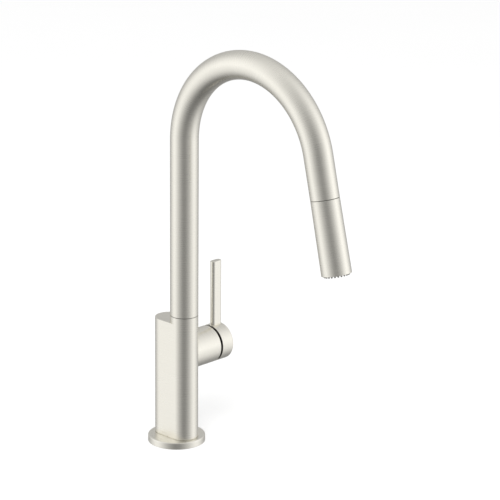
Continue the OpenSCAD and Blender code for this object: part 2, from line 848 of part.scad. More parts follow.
module nozzle_membrane() {
    color(grey) at_tip() difference() {
        union() {
            translate([0, 0, holder_z - membrane_t]) cylinder(r = face_r, h = membrane_t);
            at_nozzles() cylinder(r1 = nozzle_d * 0.36, r2 = nozzle_d / 2, h = nozzle_out + face_t + eps);
        }
        translate([0, 0, face_z]) cylinder(d = aerator_d + 2 * seat_fit, h = 10);
    }
}

// Places of the outer ring's nozzles, at the nozzle's tip
module at_nozzles() {
    for (i = [0 : nozzle_count - 1])
        rotate(nozzle_turn + i * 360 / nozzle_count) translate([nozzle_ring_r, 0, face_z - nozzle_out]) children();
}

module spray_face() {
    color(nickel) at_tip() difference() {
        translate([0, 0, face_z]) cylinder(r = face_r, h = face_t);
        translate([0, 0, face_z - 1]) cylinder(d = aerator_d + 2 * seat_fit, h = face_t + 2);
        at_nozzles() translate([0, 0, nozzle_out - 1]) cylinder(d = nozzle_d + 2 * seat_fit, h = face_t + 2);
    }
}

module aerator_case() {
    color(black) at_tip() ring(aerator_d / 2, aerator_d / 2 - aerator_wall, face_z - 0.4, holder_z + holder_t - 2);
}

module aerator_screen() {
    screen_r = aerator_d / 2 - aerator_wall - seat_fit;
    bar = 0.5;
    color(steel) at_tip() translate([0, 0, face_z]) {
        ring(screen_r, screen_r - 0.8, 0, 1);
        intersection() {
            cylinder(r = screen_r - 0.4, h = 1);
            for (x = [-2 : 2])
                translate([x * screen_r / 3 - bar / 2, -screen_r, 0]) cube([bar, 2 * screen_r, 0.9]);
        }
        intersection() {
            cylinder(r = screen_r - 0.4, h = 1);
            for (y = [-2 : 2])
                translate([-screen_r, y * screen_r / 3 - bar / 2, 0.1]) cube([2 * screen_r, bar, 0.9]);
        }
    }
}

module spray_button() {
    color(nickel) at_tip() translate([0, 0, wand_top - button_z]) intersection() {
        oval(button_w - 2 * air, button_len - 2 * air, wand_in - 1, wand_end_r + 2);
        translate([0, 0, -button_len]) cylinder(r = mid_r + button_proud, h = 2 * button_len);
    }
}

module diverter_spool() {
    color(steel) at_tip() translate([0, nipple_d / 2 - 1, wand_top - button_z]) rotate([-90, 0, 0])
        cylinder(r = spool_r, h = wand_in - nipple_d / 2);
}

faucet_body();
base_flange();
base_screws();
deck_gasket();
mounting_shank();
rubber_washer();
steel_washer();
mounting_nut();
jack_screws();
cartridge_housing();
base_seal();
fixed_disc();
retaining_nut();
glide_ring();
upper_bushing();
lower_bushing();
thrust_washer();
lower_hose();
hose_coupling();
spout_tube();
spout_spigot();
spigot_o_ring();
spigot_clip();
docking_collar();
dock_magnet();
upper_hose();
hose_ferrule();
hose_nut();
wand_shell();
docking_insert();
wand_magnet();
inlet_o_ring();
check_valve();
waterway_core();
spray_holder();
nozzle_membrane();
spray_face();
aerator_case();
aerator_screen();
spray_button();
diverter_spool();
stem_rotor();
stem_pin();
moving_disc();
valve_stem();
handle_cap();
handle_lever();
handle_set_screw();
set_screw_plug();
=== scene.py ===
"""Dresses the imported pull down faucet: smooth turned and swept metal, braided hose, rubber nozzles, studio."""

import json
import math
from collections import namedtuple

import bmesh
import bpy
from bpy.props import FloatProperty, FloatVectorProperty, IntProperty, PointerProperty
from mathutils import Matrix, Vector


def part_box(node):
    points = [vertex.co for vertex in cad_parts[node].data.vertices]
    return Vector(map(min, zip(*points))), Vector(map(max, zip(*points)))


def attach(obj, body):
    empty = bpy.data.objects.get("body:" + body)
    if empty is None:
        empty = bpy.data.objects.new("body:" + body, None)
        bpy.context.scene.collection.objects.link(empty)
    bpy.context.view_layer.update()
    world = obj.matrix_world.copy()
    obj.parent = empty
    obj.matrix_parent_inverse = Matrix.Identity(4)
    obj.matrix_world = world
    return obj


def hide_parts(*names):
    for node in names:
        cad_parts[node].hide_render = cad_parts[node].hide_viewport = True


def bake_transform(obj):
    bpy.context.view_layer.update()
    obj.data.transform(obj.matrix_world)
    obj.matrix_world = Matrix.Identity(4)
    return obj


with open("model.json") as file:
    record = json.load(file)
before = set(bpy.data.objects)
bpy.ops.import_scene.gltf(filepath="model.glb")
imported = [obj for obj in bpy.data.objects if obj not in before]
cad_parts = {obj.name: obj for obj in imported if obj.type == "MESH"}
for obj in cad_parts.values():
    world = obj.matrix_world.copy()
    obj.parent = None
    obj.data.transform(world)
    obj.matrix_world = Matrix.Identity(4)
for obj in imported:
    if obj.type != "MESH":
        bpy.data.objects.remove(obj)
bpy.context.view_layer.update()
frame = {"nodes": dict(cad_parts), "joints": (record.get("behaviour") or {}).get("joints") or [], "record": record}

bl_info = {
    "name": "Pull Down Faucet",
    "version": (1, 0, 0),
    "blender": (4, 5, 0),
    "location": "3D View > Sidebar > Faucet",
    "description": "Builds the visible pieces of a pull down faucet around its packed frame",
    "category": "Add Mesh",
}

MM = 0.001
NEAR = 1e-6
MERGE = 1e-7
PLAY = 0.1 * MM
FIT = 0.05 * MM
JOINTS = {joint["name"]: joint for joint in frame["joints"]}
SMALL_ROUNDS = 64
SHARP = math.radians(28)
CREASE = math.radians(35)
HALF_SIXTH = math.cos(math.pi / 6)


# ---------- places taken from the frame ----------

Reach = namedtuple("Reach", "low high inner outer")


def frame_at(origin, z_axis, x_axis=(1, 0, 0)):
    """A placing matrix with its z along z_axis and its x as near x_axis as it can be."""
    z = Vector(z_axis).normalized()
    y = z.cross(Vector(x_axis)).normalized()
    turn = Matrix((y.cross(z), y, z)).transposed().to_4x4()
    return Matrix.Translation(Vector(origin)) @ turn


def corners(node):
    """The points of a CAD node's mesh."""
    return [vertex.co for vertex in frame["nodes"][node].data.vertices]


def reach(node, place):
    """Lowest z, highest z, smallest and largest radius of a CAD node in a placing matrix."""
    back = place.inverted()
    points = [back @ point for point in corners(node)]
    radii = [math.hypot(p.x, p.y) for p in points]
    heights = [p.z for p in points]
    return Reach(min(heights), max(heights), min(radii), max(radii))


SWIVEL = Vector(JOINTS["spout_swivel"]["pos_m"])
TIP = Vector(JOINTS["wand_swivel"]["pos_m"])
TIP_UP = -Vector(JOINTS["wand_swivel"]["axis"])
BARREL = Vector(JOINTS["handle_temperature"]["pos_m"])

AT_DECK = Matrix.Identity(4)
AT_SPOUT = Matrix.Translation((0, SWIVEL.y, 0))
AT_TIP = frame_at(TIP, TIP_UP)
AT_BARREL = frame_at((0, BARREL.y, BARREL.z), (1, 0, 0), (0, 0, -1))

TUBE_LOW, TUBE_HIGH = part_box("spout_tube")
TUBE_R = TUBE_HIGH.x
BODY_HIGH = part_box("faucet_body")[1]
COLUMN_HALF = BODY_HIGH.y - TUBE_R
FOOT_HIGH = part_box("base_flange")[1]
FOOT_R, FOOT_TOP = FOOT_HIGH.x, FOOT_HIGH.z
HOSE_LOW, HOSE_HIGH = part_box("lower_hose")
HOSE_R = HOSE_HIGH.x


def arch():
    """Radius and centre height of the gooseneck's arch, from the tube's top and its tip."""
    top = TUBE_HIGH.z - TUBE_R
    reach_y = (SWIVEL.y - TIP.y) * TIP_UP.z - (top - TIP.z) * TIP_UP.y
    radius = reach_y / (1 + TIP_UP.z - TIP_UP.y)
    return radius, top - radius


ARCH_R, ARCH_Z = arch()
ARCH_TURN = math.pi - math.atan2(TIP_UP.y, TIP_UP.z)
ARCH_CENTRE = Vector((0, SWIVEL.y - ARCH_R, ARCH_Z))
ARCH_END = ARCH_CENTRE + ARCH_R * Vector((0, math.cos(ARCH_TURN), math.sin(ARCH_TURN)))
TIP_LEN = (ARCH_END - TIP).length


# ---------- sizes and colours ----------


def setting(kind, scale=1, **fixed):
    """A maker of one kind of property, from a name, a description, a default in the unit of scale, and limits."""

    def made(name, description, value, **limits):
        return kind(name=name, description=description, default=value * scale, **{**fixed, **limits})

    return made


length = setting(FloatProperty, MM, min=0, unit="LENGTH", precision=5)
angle = setting(FloatProperty, math.radians(1), subtype="ANGLE")
colour = setting(FloatVectorProperty, subtype="COLOR", min=0, max=1)
share = setting(FloatProperty, min=0, max=1, subtype="FACTOR")
level = setting(FloatProperty, min=0)
whole = setting(IntProperty)


class FaucetFinish(bpy.types.PropertyGroup):
    """Colours and grain of the finishes."""

    nickel: colour("Nickel", "Colour of the brushed nickel", (0.860, 0.836, 0.762))
    nickel_rough: share("Nickel roughness", "Mean roughness of the brushed nickel", 0.30)
    nickel_grain: share("Nickel grain", "How much the brush lines vary the roughness", 0.10)
    brush_depth: length("Brush depth", "Depth of the brush lines", 0.004)
    brass: colour("Brass", "Colour of the bare brass", (0.62, 0.44, 0.17))
    steel: colour("Steel", "Colour of the stainless steel", (0.56, 0.56, 0.55))
    black: colour("Black plastic", "Colour of the bearings and rings", (0.006, 0.006, 0.0065))
    grey: colour("Grey plastic", "Colour of the inner mouldings", (0.30, 0.31, 0.32))
    nozzle: colour("Nozzle rubber", "Colour of the spray nozzles", (0.24, 0.235, 0.22))
    rubber: colour("Rubber", "Colour of the seals and washers", (0.025, 0.025, 0.026))
    ceramic: colour("Ceramic", "Colour of the valve discs", (0.80, 0.79, 0.75))
    braid: colour("Braid", "Colour of the hose's nylon braid", (0.26, 0.265, 0.27))


class FaucetSizes(bpy.types.PropertyGroup):
    """Small forms that the frame leaves plain."""

    rounds: whole("Segments", "Segments of a full turn", 128, min=32, max=256)
    edge: length("Edge", "Radius of the small broken edges", 0.35)
    foot_edge: length("Foot edge", "Radius of the foot plate's upper edge", 1.2)
    cap_edge: length("Cap edge", "Radius of the handle cap's outer edge", 1.5)
    shelf_edge: length("Shelf edge", "Radius of the column's edges", 0.4)
    seam_depth: length("Seam depth", "Depth of the shadow line between column and foot plate", 0.6)
    seam_height: length("Seam height", "Height of the shadow line between column and foot plate", 0.4)
    lever_edge: length("Lever edge", "Radius of the edge round the lever's top", 0.6)
    tube_wall: length("Tube wall", "Wall of the spout tube", 1.3)
    thread_pitch: length("Thread pitch", "Pitch of the shank's thread", 1.5)
    button_edge: length("Button edge", "Radius round the spray button", 0.5)
    gap_edge: length("Gap edge", "Radius of the edges beside the black ring", 0.15)
    nozzles: whole("Nozzles", "Rubber nozzles in the wand's face", 24, min=3)
    nozzle_turn: angle("Nozzle turn", "Turn of the nozzle ring", 5.2)
    screen_cells: whole("Screen cells", "Cells across the aerator's screen", 17, min=3)
    braid_lift: length("Braid lift", "Height of the hose's braided strands", 0.22)
    braid_count: whole("Braid strands", "Strands each way round the hose", 12, min=6)
    braid_pitch: length("Braid pitch", "Length of one full turn of a strand", 34)


class FaucetStudio(bpy.types.PropertyGroup):
    """Light, floor and camera."""

    camera_turn: angle("Camera turn", "Camera's azimuth round the faucet", -44.44)
    camera_pan: angle("Camera pan", "Camera's turn away from the faucet", -1.43)
    camera_tilt: angle("Camera tilt", "Camera's tilt below level", 17.79)
    camera_roll: angle("Camera roll", "Camera's roll", 0.46)
    camera_away: length("Camera distance", "Level distance from the faucet's axis", 2944.99)
    camera_height: length("Camera height", "Camera's height above the deck", 1148.65)
    lens: level("Lens", "Focal length in millimetres", 222.06, min=10)
    floor_size: length("Floor size", "Side of the square floor", 6000)
    floor_colour: colour("Floor", "Colour of the floor", (0.80, 0.80, 0.80))
    ambient: level("Ambient", "Level of the light from all round", 0.75)
    backdrop: share("Backdrop", "Level of the backdrop above the floor", 1.0)
    floor_glow: share("Floor glow", "White added to the floor where the camera sees it", 0.32)
    key: level("Key", "Power of the key light in watts", 26.0)


FINISH = SIZES = STUDIO = None


def read_settings():
    """The scene's property groups, for the makers."""
    global FINISH, SIZES, STUDIO
    scene = bpy.context.scene
    FINISH, SIZES, STUDIO = scene.faucet_finish, scene.faucet_sizes, scene.faucet_studio


# ---------- mesh tools ----------


def outward(bm):
    """Merges doubles and points every face outwards."""
    bmesh.ops.remove_doubles(bm, verts=bm.verts, dist=MERGE)
    bmesh.ops.dissolve_degenerate(bm, dist=1e-8, edges=bm.edges)
    bmesh.ops.recalc_face_normals(bm, faces=bm.faces)


def soften(bm, radius, segments=3, only=None):
    """Rounds the outer sharp edges, or those of them that only accepts."""
    sharp = [e for e in bm.edges if len(e.link_faces) == 2 and e.calc_face_angle_signed(0) > SHARP]
    bmesh.ops.bevel(
        bm,
        geom=[e for e in sharp if only is None or only(e)],
        offset=radius,
        offset_type="OFFSET",
        affect="EDGES",
        segments=segments,
        profile=0.5,
        material=-1,
        clamp_overlap=True,
    )


def lathe(profile, rounds, edge=0, segments=3, only=None):
    """A bmesh of (radius, z) points spun into a skin round z, with its outer edges rounded."""
    bm = bmesh.new()
    ring = [bm.verts.new((radius, 0, z)) for radius, z in profile]
    geom = ring + [bm.edges.new(pair) for pair in zip(ring[:-1], ring[1:])]
    bmesh.ops.spin(bm, geom=geom, cent=(0, 0, 0), axis=(0, 0, 1), angle=math.tau, steps=rounds, use_merge=True)
    outward(bm)
    if edge:
        soften(bm, edge, segments, only)
    return bm


def flush(height):
    """Accepts the edges that lie at a height."""
    return lambda edge: all(abs(v.co.z - height) < NEAR for v in edge.verts)


def closed(bm, *loops):
    """Fills edge loops."""
    for loop in loops:
        bmesh.ops.edgeloop_fill(bm, edges=loop)


def edges_of(verts):
    """The edges at some vertices, each once. A set would list them in another order each run."""
    return list(dict.fromkeys(edge for v in verts for edge in v.link_edges))


def oval_loop(bm, width, long, z=0.0):
    """A closed flat loop with two straight sides along y and half-round ends."""
    verts = bmesh.ops.create_circle(bm, segments=SMALL_ROUNDS, radius=width / 2)["verts"]
    turn = Matrix.Rotation(math.pi / SMALL_ROUNDS, 3, "Z")
    bmesh.ops.rotate(bm, verts=verts, cent=(0, 0, 0), matrix=turn)
    for side in (-1, 1):
        end = [v for v in verts if v.co.y * side > 0]
        bmesh.ops.translate(bm, verts=end, vec=(0, side * (long - width) / 2, 0))
    bmesh.ops.translate(bm, verts=verts, vec=(0, 0, z))
    return verts, edges_of(verts)


def extruded(bm, edges, vec):
    """Extrudes an edge loop by vec and returns the new vertices and edges."""
    made = bmesh.ops.extrude_edge_only(bm, edges=edges)["geom"]
    verts = [g for g in made if isinstance(g, bmesh.types.BMVert)]
    bmesh.ops.translate(bm, verts=verts, vec=vec)
    return verts, [g for g in made if isinstance(g, bmesh.types.BMEdge)]


def brushed_map(bm, reference, along=None):
    """Writes where each point lies on the brushed surface.

    The attribute holds a straightened place: the brush lines run round x and y and are stacked along z. The map's u
    runs across the lines, so that highlights spread that way."""
    layer = bm.verts.layers.float_vector.new("brushed")
    chart = bm.loops.layers.uv.new("across")
    for v in bm.verts:
        x, y, z = along(v.co) if along else (v.co.x, v.co.y, v.co.z - math.hypot(v.co.x, v.co.y))
        size = math.hypot(x, y) or 1.0
        v[layer] = Vector((x / size * reference, y / size * reference, z))
    for face in bm.faces:
        middle = face.calc_center_median()
        mx, my, _ = along(middle) if along else middle
        centre = math.atan2(my, mx)
        for loop in face.loops:
            place = loop.vert[layer]
            turn = math.atan2(place.y, place.x) - centre
            turn = (turn + math.pi) % math.tau - math.pi
            loop[chart].uv = (place.z / reference, centre + turn)


def shaded(bm):
    """Smooth shading that breaks at creases."""
    for face in bm.faces:
        face.smooth = True
    for edge in bm.edges:
        edge.smooth = edge.calc_face_angle(0) < CREASE


def linked(name, data):
    """A new object in the scene; a bmesh is made its mesh and freed."""
    if isinstance(data, bmesh.types.BMesh):
        bm, data = data, bpy.data.meshes.new(name)
        bm.to_mesh(data)
        bm.free()
    item = bpy.data.objects.new(name, data)
    bpy.context.scene.collection.objects.link(item)
    return item


def evened(piece):
    """Weighs a piece's normals by the size of its faces."""
    shading = piece.modifiers.new("even_shading", "WEIGHTED_NORMAL")
    shading.weight = 100
    shading.keep_sharp = True


def finished(name, bm, node, place, body, slot, size=None, along=None, even=True, material=None):
    """Turns a bmesh into the piece that stands for a node: brushed, smooth shaded, in place, riding its body."""
    if size:
        brushed_map(bm, size, along)
    bm.transform(place)
    shaded(bm)
    piece = linked(name, bm)
    piece.data.materials.append(material or finish(slot))
    if even:
        evened(piece)
    if body:
        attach(piece, body)
    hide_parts(node)
    return piece


def turned_piece(name, profile, node, place, body, slot, edge):
    """A lathe-turned piece with softened edges and a closed skin."""
    bm = lathe(profile, SIZES.rounds, edge)
    return finished(name, bm, node, place, body, slot, max(radius for radius, _ in profile))


def carved(piece, tool, place):
    """Cuts a bmesh's shape, moved by place, out of piece for good."""
    tool.transform(place)
    cutter = linked("cutter", tool)
    piece.modifiers.clear()
    cut = piece.modifiers.new("cut", "BOOLEAN")
    cut.operation = "DIFFERENCE"
    cut.solver = "EXACT"
    cut.object = cutter
    graph = bpy.context.evaluated_depsgraph_get()
    mesh = bpy.data.meshes.new_from_object(piece.evaluated_get(graph))
    piece.modifiers.clear()
    evened(piece)
    bm = bmesh.new()
    bm.from_mesh(mesh)
    bmesh.ops.remove_doubles(bm, verts=bm.verts, dist=MERGE)
    shaded(bm)
    bm.to_mesh(mesh)
    bm.free()
    old, piece.data = piece.data, mesh
    mesh.name = piece.name
    bpy.data.meshes.remove(old)
    bpy.data.objects.remove(cutter)


# ---------- materials ----------


class Nodes:
    """A short hand for building a node tree."""

    def __init__(self, owner, output):
        owner.use_nodes = True
        self.tree = owner.node_tree
        self.tree.nodes.clear()
        self.surface = self.add(output).inputs["Surface"]

    def add(self, kind, **settings):
        node = self.tree.nodes.new(kind)
        for key, value in settings.items():
            setattr(node, key, value)
        return node

    def link(self, source, target):
        self.tree.links.new(source, target)

    def filled(self, node, *values):
        """Gives a node's first inputs their values or links."""
        for socket, value in zip(node.inputs, values):
            if isinstance(value, bpy.types.NodeSocket):
                self.link(value, socket)
            else:
                socket.default_value = value
        return node.outputs

    def maths(self, operation, *values):
        return self.filled(self.add("ShaderNodeMath", operation=operation), *values)["Value"]

    def vector(self, operation, *values):
        return self.filled(self.add("ShaderNodeVectorMath", operation=operation), *values)


class Finish(Nodes):
    """The nodes of one finish."""

    def __init__(self, name):
        self.material = bpy.data.materials.new(name)
        super().__init__(self.material, "ShaderNodeOutputMaterial")
        self.shader = self.add("ShaderNodeBsdfPrincipled")
        self.link(self.shader.outputs["BSDF"], self.surface)

    def put(self, key, value):
        self.shader.inputs[key].default_value = value

    def noise(self, attribute, stretch, scale=1.0, detail=3.0, rough=0.55):
        """Noise on the named attribute, or on the object's own coordinates."""
        if attribute:
            source = self.add("ShaderNodeAttribute", attribute_name=attribute).outputs["Vector"]
        else:
            source = self.add("ShaderNodeTexCoord").outputs["Object"]
        mapping = self.add("ShaderNodeMapping")
        mapping.inputs["Scale"].default_value = stretch
        self.link(source, mapping.inputs["Vector"])
        node = self.add("ShaderNodeTexNoise")
        for key, value in (("Scale", scale), ("Detail", detail), ("Roughness", rough)):
            node.inputs[key].default_value = value
        self.link(mapping.outputs["Vector"], node.inputs["Vector"])
        return node.outputs["Fac"]

    def mixed(self, first, part, second, rest):
        """Two patterns added, each by its part."""
        return self.maths("ADD", self.maths("MULTIPLY", first, part), self.maths("MULTIPLY", second, rest))

    def ranged(self, source, low, high, start=0.0, end=1.0):
        return self.filled(self.add("ShaderNodeMapRange"), source, start, end, low, high)["Result"]

    def tinted(self, source, base, low, high):
        """The base colour, darker to lighter as source goes from 0.3 to 0.7."""
        node = self.add("ShaderNodeMix", data_type="RGBA")
        a, b = [s for s in node.inputs if s.type == "RGBA"][:2]
        a.default_value = (*[c * low for c in base], 1)
        b.default_value = (*[min(1.0, c * high) for c in base], 1)
        self.link(self.ranged(source, 0, 1, 0.3, 0.7), node.inputs["Factor"])
        self.link([s for s in node.outputs if s.type == "RGBA"][0], self.shader.inputs["Base Color"])

    def bumped(self, source, depth):
        node = self.add("ShaderNodeBump")
        node.inputs["Strength"].default_value = 1.0
        node.inputs["Distance"].default_value = depth
        self.link(source, node.inputs["Height"])
        self.link(node.outputs["Normal"], self.shader.inputs["Normal"])


def brushed_metal(name, base, rough, grain, depth, mapped=True, fineness=1.0):
    """Metal with fine brush lines, which stretch its highlights across them."""
    n = Finish(name)
    attribute = "brushed" if mapped else None
    fine = n.noise(attribute, (26, 26, 3400 * fineness), 1.0, 4.0, 0.6)
    broad = n.noise(attribute, (14, 14, 900 * fineness))
    soft = n.noise(attribute, (60, 60, 60), 1.0, 2.0)
    lines = n.mixed(fine, 0.6, broad, 0.4)
    n.tinted(lines, base, 0.965, 1.035)
    uneven = n.mixed(lines, 0.8, soft, 0.2)
    n.link(n.ranged(uneven, rough - grain, rough + grain, 0.25, 0.75), n.shader.inputs["Roughness"])
    n.bumped(lines, depth)
    n.put("Metallic", 1.0)
    if mapped:
        tangent = n.add("ShaderNodeTangent", direction_type="UV_MAP", uv_map="across")
        n.link(tangent.outputs["Tangent"], n.shader.inputs["Tangent"])
        n.put("Anisotropic", 0.55)
    return n.material


def moulded(name, base, rough, depth, grain_size=900, gloss=0.5):
    """Moulded plastic, rubber or fired ceramic: faint mottling and a fine surface grain."""
    n = Finish(name)
    grain = n.noise(None, (1, 1, 1), grain_size)
    n.tinted(n.noise(None, (1, 1, 1), 45, 2.0), base, 0.9, 1.1)
    n.link(n.ranged(grain, rough - 0.06, rough + 0.06, 0.3, 0.7), n.shader.inputs["Roughness"])
    n.bumped(grain, depth)
    n.put("Specular IOR Level", gloss)
    return n.material


def braided(name, base):
    """Nylon braid: strands dark where they sink and light where they rise, partly the dark core between them and
    partly painted shade in the dips and painted light on the tops, with the threads' fine ribs.
    """
    n = Finish(name)
    lift = n.add("ShaderNodeAttribute", attribute_name="weave").outputs["Fac"]
    threads = n.noise("brushed", (500, 500, 2200), 1.0, 2.0)
    # Painted shade and light: colour follows the strand height, near black in the dips between strands (partly the
    # dark core) and lighter on the raised strands.
    n.tinted(n.mixed(lift, 0.8, threads, 0.3), base, 0.12, 1.5)
    n.link(n.ranged(lift, 0.75, 0.45), n.shader.inputs["Roughness"])
    n.bumped(threads, 0.03 * MM)
    return n.material


def make_materials():
    """One finish for each slot, with an unmapped twin of each metal for the frame's own pieces."""
    f = FINISH
    return {
        "brushed_nickel": brushed_metal("brushed_nickel", f.nickel, f.nickel_rough, f.nickel_grain, f.brush_depth),
        "brass": brushed_metal("turned_brass", f.brass, 0.28, 0.06, 0.003 * MM, fineness=0.6),
        "steel": brushed_metal("turned_steel", f.steel, 0.26, 0.06, 0.003 * MM, fineness=0.6),
        "black_plastic": moulded("black_plastic", f.black, 0.5, 0.004 * MM, gloss=0.15),
        "grey_plastic": moulded("grey_plastic", f.grey, 0.5, 0.006 * MM),
        "nozzle_rubber": moulded("nozzle_rubber", f.nozzle, 0.55, 0.006 * MM),
        "rubber": moulded("seal_rubber", f.rubber, 0.68, 0.012 * MM, 600),
        "ceramic": moulded("fired_ceramic", f.ceramic, 0.22, 0.001 * MM, 1500),
        "braided_hose": braided("braided_nylon", f.braid),
        "plain": {
            "brushed_nickel": brushed_metal("plain_nickel", f.nickel, f.nickel_rough, 0.05, 0.002 * MM, mapped=False),
            "brass": brushed_metal("plain_brass", f.brass, 0.3, 0.05, 0.002 * MM, mapped=False, fineness=0.5),
            "steel": brushed_metal("plain_steel", f.steel, 0.3, 0.05, 0.002 * MM, mapped=False, fineness=0.5),
            "braided_hose": moulded("plain_braid", f.braid, 0.6, 0.05 * MM, 420),
        },
    }


MATERIALS = {}


def finish(slot):
    """The material of a slot, made once."""
    if not MATERIALS:
        MATERIALS.update(make_materials())
    return MATERIALS[slot]


# ---------- shared builders ----------


def ring_profile(low, high, inner, outer):
    """A closed profile of a plain ring."""
    return [(inner, low), (outer, low), (outer, high), (inner, high), (inner, low)]


def ring_piece(node, name, place, body, slot, edge):
    """A turned ring that stands for a ring-shaped node."""
    return turned_piece(name, ring_profile(*reach(node, place)), node, place, body, slot, edge)


def added(bm, part, place=AT_DECK):
    """Joins a finished part into bm, moved by place."""
    part.transform(place)
    mesh = bpy.data.meshes.new("part")
    part.to_mesh(mesh)
    part.free()
    bm.from_mesh(mesh)
    bpy.data.meshes.remove(mesh)


def threaded(radius, low, high, pitch, cut):
    """Profile points of a ringed thread from low to high."""
    count = max(1, round((high - low) / pitch))
    step = (high - low) / count
    turn = ((0.08, cut), (0.44, 0), (0.56, 0), (0.92, cut))
    return [(radius - depth, low + (i + part) * step) for i in range(count) for part, depth in turn]


def drill(radius, low, high, spots=((0, 0),)):
    """Cutting rods along z at several places."""
    bm = bmesh.new()
    size = {"segments": 48, "radius1": radius, "radius2": radius, "depth": high - low}
    for x, y in spots:
        made = bmesh.ops.create_cone(bm, cap_ends=True, **size)
        bmesh.ops.translate(bm, verts=made["verts"], vec=(x, y, (low + high) / 2))
    return bm


def round_places(radius, count, first=0.0):
    """Even places on a circle."""
    turns = [first + math.tau * i / count for i in range(count)]
    return [(radius * math.cos(turn), radius * math.sin(turn)) for turn in turns]


def six_sided(bm, flats, low, high):
    """A six-sided prism with softened edges."""
    radius = flats / 2 / HALF_SIXTH
    made = bmesh.ops.create_cone(
        bm, cap_ends=True, segments=6, radius1=radius, radius2=radius, depth=high - low
    )
    bmesh.ops.translate(bm, verts=made["verts"], vec=(0, 0, (low + high) / 2))
    soften(bm, 0.4 * MM)


def socket_screw(head_r, head_h, thread_r, top):
    """A socket head screw that points up, with its head's face at z = 0 and a six-sided socket."""
    socket_r = head_r * 0.5
    profile = [(socket_r, 0), (head_r, 0), (head_r, head_h), (thread_r - 0.3 * MM, head_h)]
    profile += threaded(thread_r, head_h, top - 0.5 * MM, 0.8 * MM, 0.3 * MM) + [(thread_r * 0.6, top), (0, top)]
    bm = lathe(profile, 48, 0.25 * MM, only=lambda e: all(v.co.z < head_h + NEAR for v in e.verts))
    rim = [e for e in bm.edges if e.is_boundary]
    inner = bmesh.ops.create_circle(bm, segments=6, radius=socket_r * 0.98)["verts"]
    hexagon = edges_of(inner)
    bmesh.ops.bridge_loops(bm, edges=rim + hexagon)
    closed(bm, extruded(bm, hexagon, (0, 0, 1.6 * MM))[1])
    bmesh.ops.recalc_face_normals(bm, faces=bm.faces)
    brushed_map(bm, head_r)
    return bm


def screw_pair(name, node, spots, low, head_r, head_h, thread_r):
    """Two screws that stand for a node, with their heads' faces at height low."""
    bm = bmesh.new()
    for x, y in spots:
        screw = socket_screw(head_r, head_h, thread_r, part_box(node)[1].z - low)
        added(bm, screw, Matrix.Translation((x, y, low)))
    finished(name, bm, node, AT_DECK, "root", "steel", even=False)


# ---------- column and foot ----------


def chamber():
    """Radius and floor of the cartridge's chamber in the barrel."""
    return reach("cartridge_housing", AT_BARREL).outer + PLAY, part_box("cartridge_housing")[0].x


def column_skin(bm):
    """The flat-sided column with its shadow line, its rear step and the spout's bearing bore."""
    half = COLUMN_HALF
    shelf = max(point.z for point in corners("faucet_body") if point.y > half)
    bore_r = reach("upper_bushing", AT_SPOUT).outer + FIT
    seam_r = TUBE_R - SIZES.seam_depth
    for side in (-1, 1):
        start = bm.verts.new((side * seam_r, side * half, FOOT_TOP))
        steps = SIZES.rounds // 2
        bmesh.ops.spin(bm, geom=[start], cent=(0, side * half, 0), axis=(0, 0, 1), angle=math.pi, steps=steps)
    ends = sorted((v for v in bm.verts if len(v.link_edges) == 1), key=lambda v: (v.co.x, v.co.y))
    bm.edges.new(ends[:2])
    bm.edges.new(ends[2:])
    base = list(bm.edges)
    seam = extruded(bm, base, (0, 0, SIZES.seam_height))[1]
    wide_verts, wide = extruded(bm, seam, (0, 0, 0))
    for side in (-1, 1):
        end = [v for v in wide_verts if v.co.y * side > 0]
        about = Matrix.Translation((0, -side * half, 0))
        bmesh.ops.scale(bm, verts=end, vec=(TUBE_R / seam_r, TUBE_R / seam_r, 1), space=about)
    top = extruded(bm, wide, (0, 0, shelf - FOOT_TOP - SIZES.seam_height))[1]
    closed(bm, base)
    rear = [e for e in top if all(v.co.y > half - NEAR for v in e.verts)]
    extruded(bm, rear, (0, -2 * half, 0))
    bmesh.ops.remove_doubles(bm, verts=bm.verts, dist=NEAR)

    def on_tube(edge):
        return all(abs(math.hypot(v.co.x, v.co.y + half) - TUBE_R) < 1e-5 for v in edge.verts)

    neck = [e for e in bm.edges if e.is_boundary and on_tube(e)]
    lip = extruded(bm, neck, (0, 0, BODY_HIGH.z - shelf))[1]
    lip_verts, lip = extruded(bm, lip, (0, 0, 0))
    shrink = bore_r / TUBE_R
    bmesh.ops.scale(bm, verts=lip_verts, vec=(shrink, shrink, 1), space=Matrix.Translation((0, half, 0)))
    closed(bm, extruded(bm, lip, (0, 0, HOSE_HIGH.z - BODY_HIGH.z))[1])


def make_column():
    bm = bmesh.new()
    column_skin(bm)
    outward(bm)
    soften(bm, SIZES.shelf_edge)
    column = finished("column", bm, "faucet_body", AT_DECK, "root", "brushed_nickel", TUBE_R, tuple)
    chamber_r, floor_x = chamber()
    carved(column, drill(chamber_r, floor_x, 60 * MM), AT_BARREL)


def make_barrel():
    nut = reach("retaining_nut", AT_BARREL)
    nut_r = nut.outer + FIT
    radius = reach("handle_cap", AT_BARREL).outer
    end = BODY_HIGH.x
    chamber_r, floor_x = chamber()
    start = floor_x - 3 * MM
    profile = [(0, start), (radius, start), (radius, end), (nut_r, end), (nut_r, nut.low)]
    profile += [(chamber_r, nut.low), (chamber_r, floor_x), (0, floor_x)]
    edge = SIZES.gap_edge
    turned_piece("handle_barrel", profile, "faucet_body", AT_BARREL, "root", "brushed_nickel", edge)


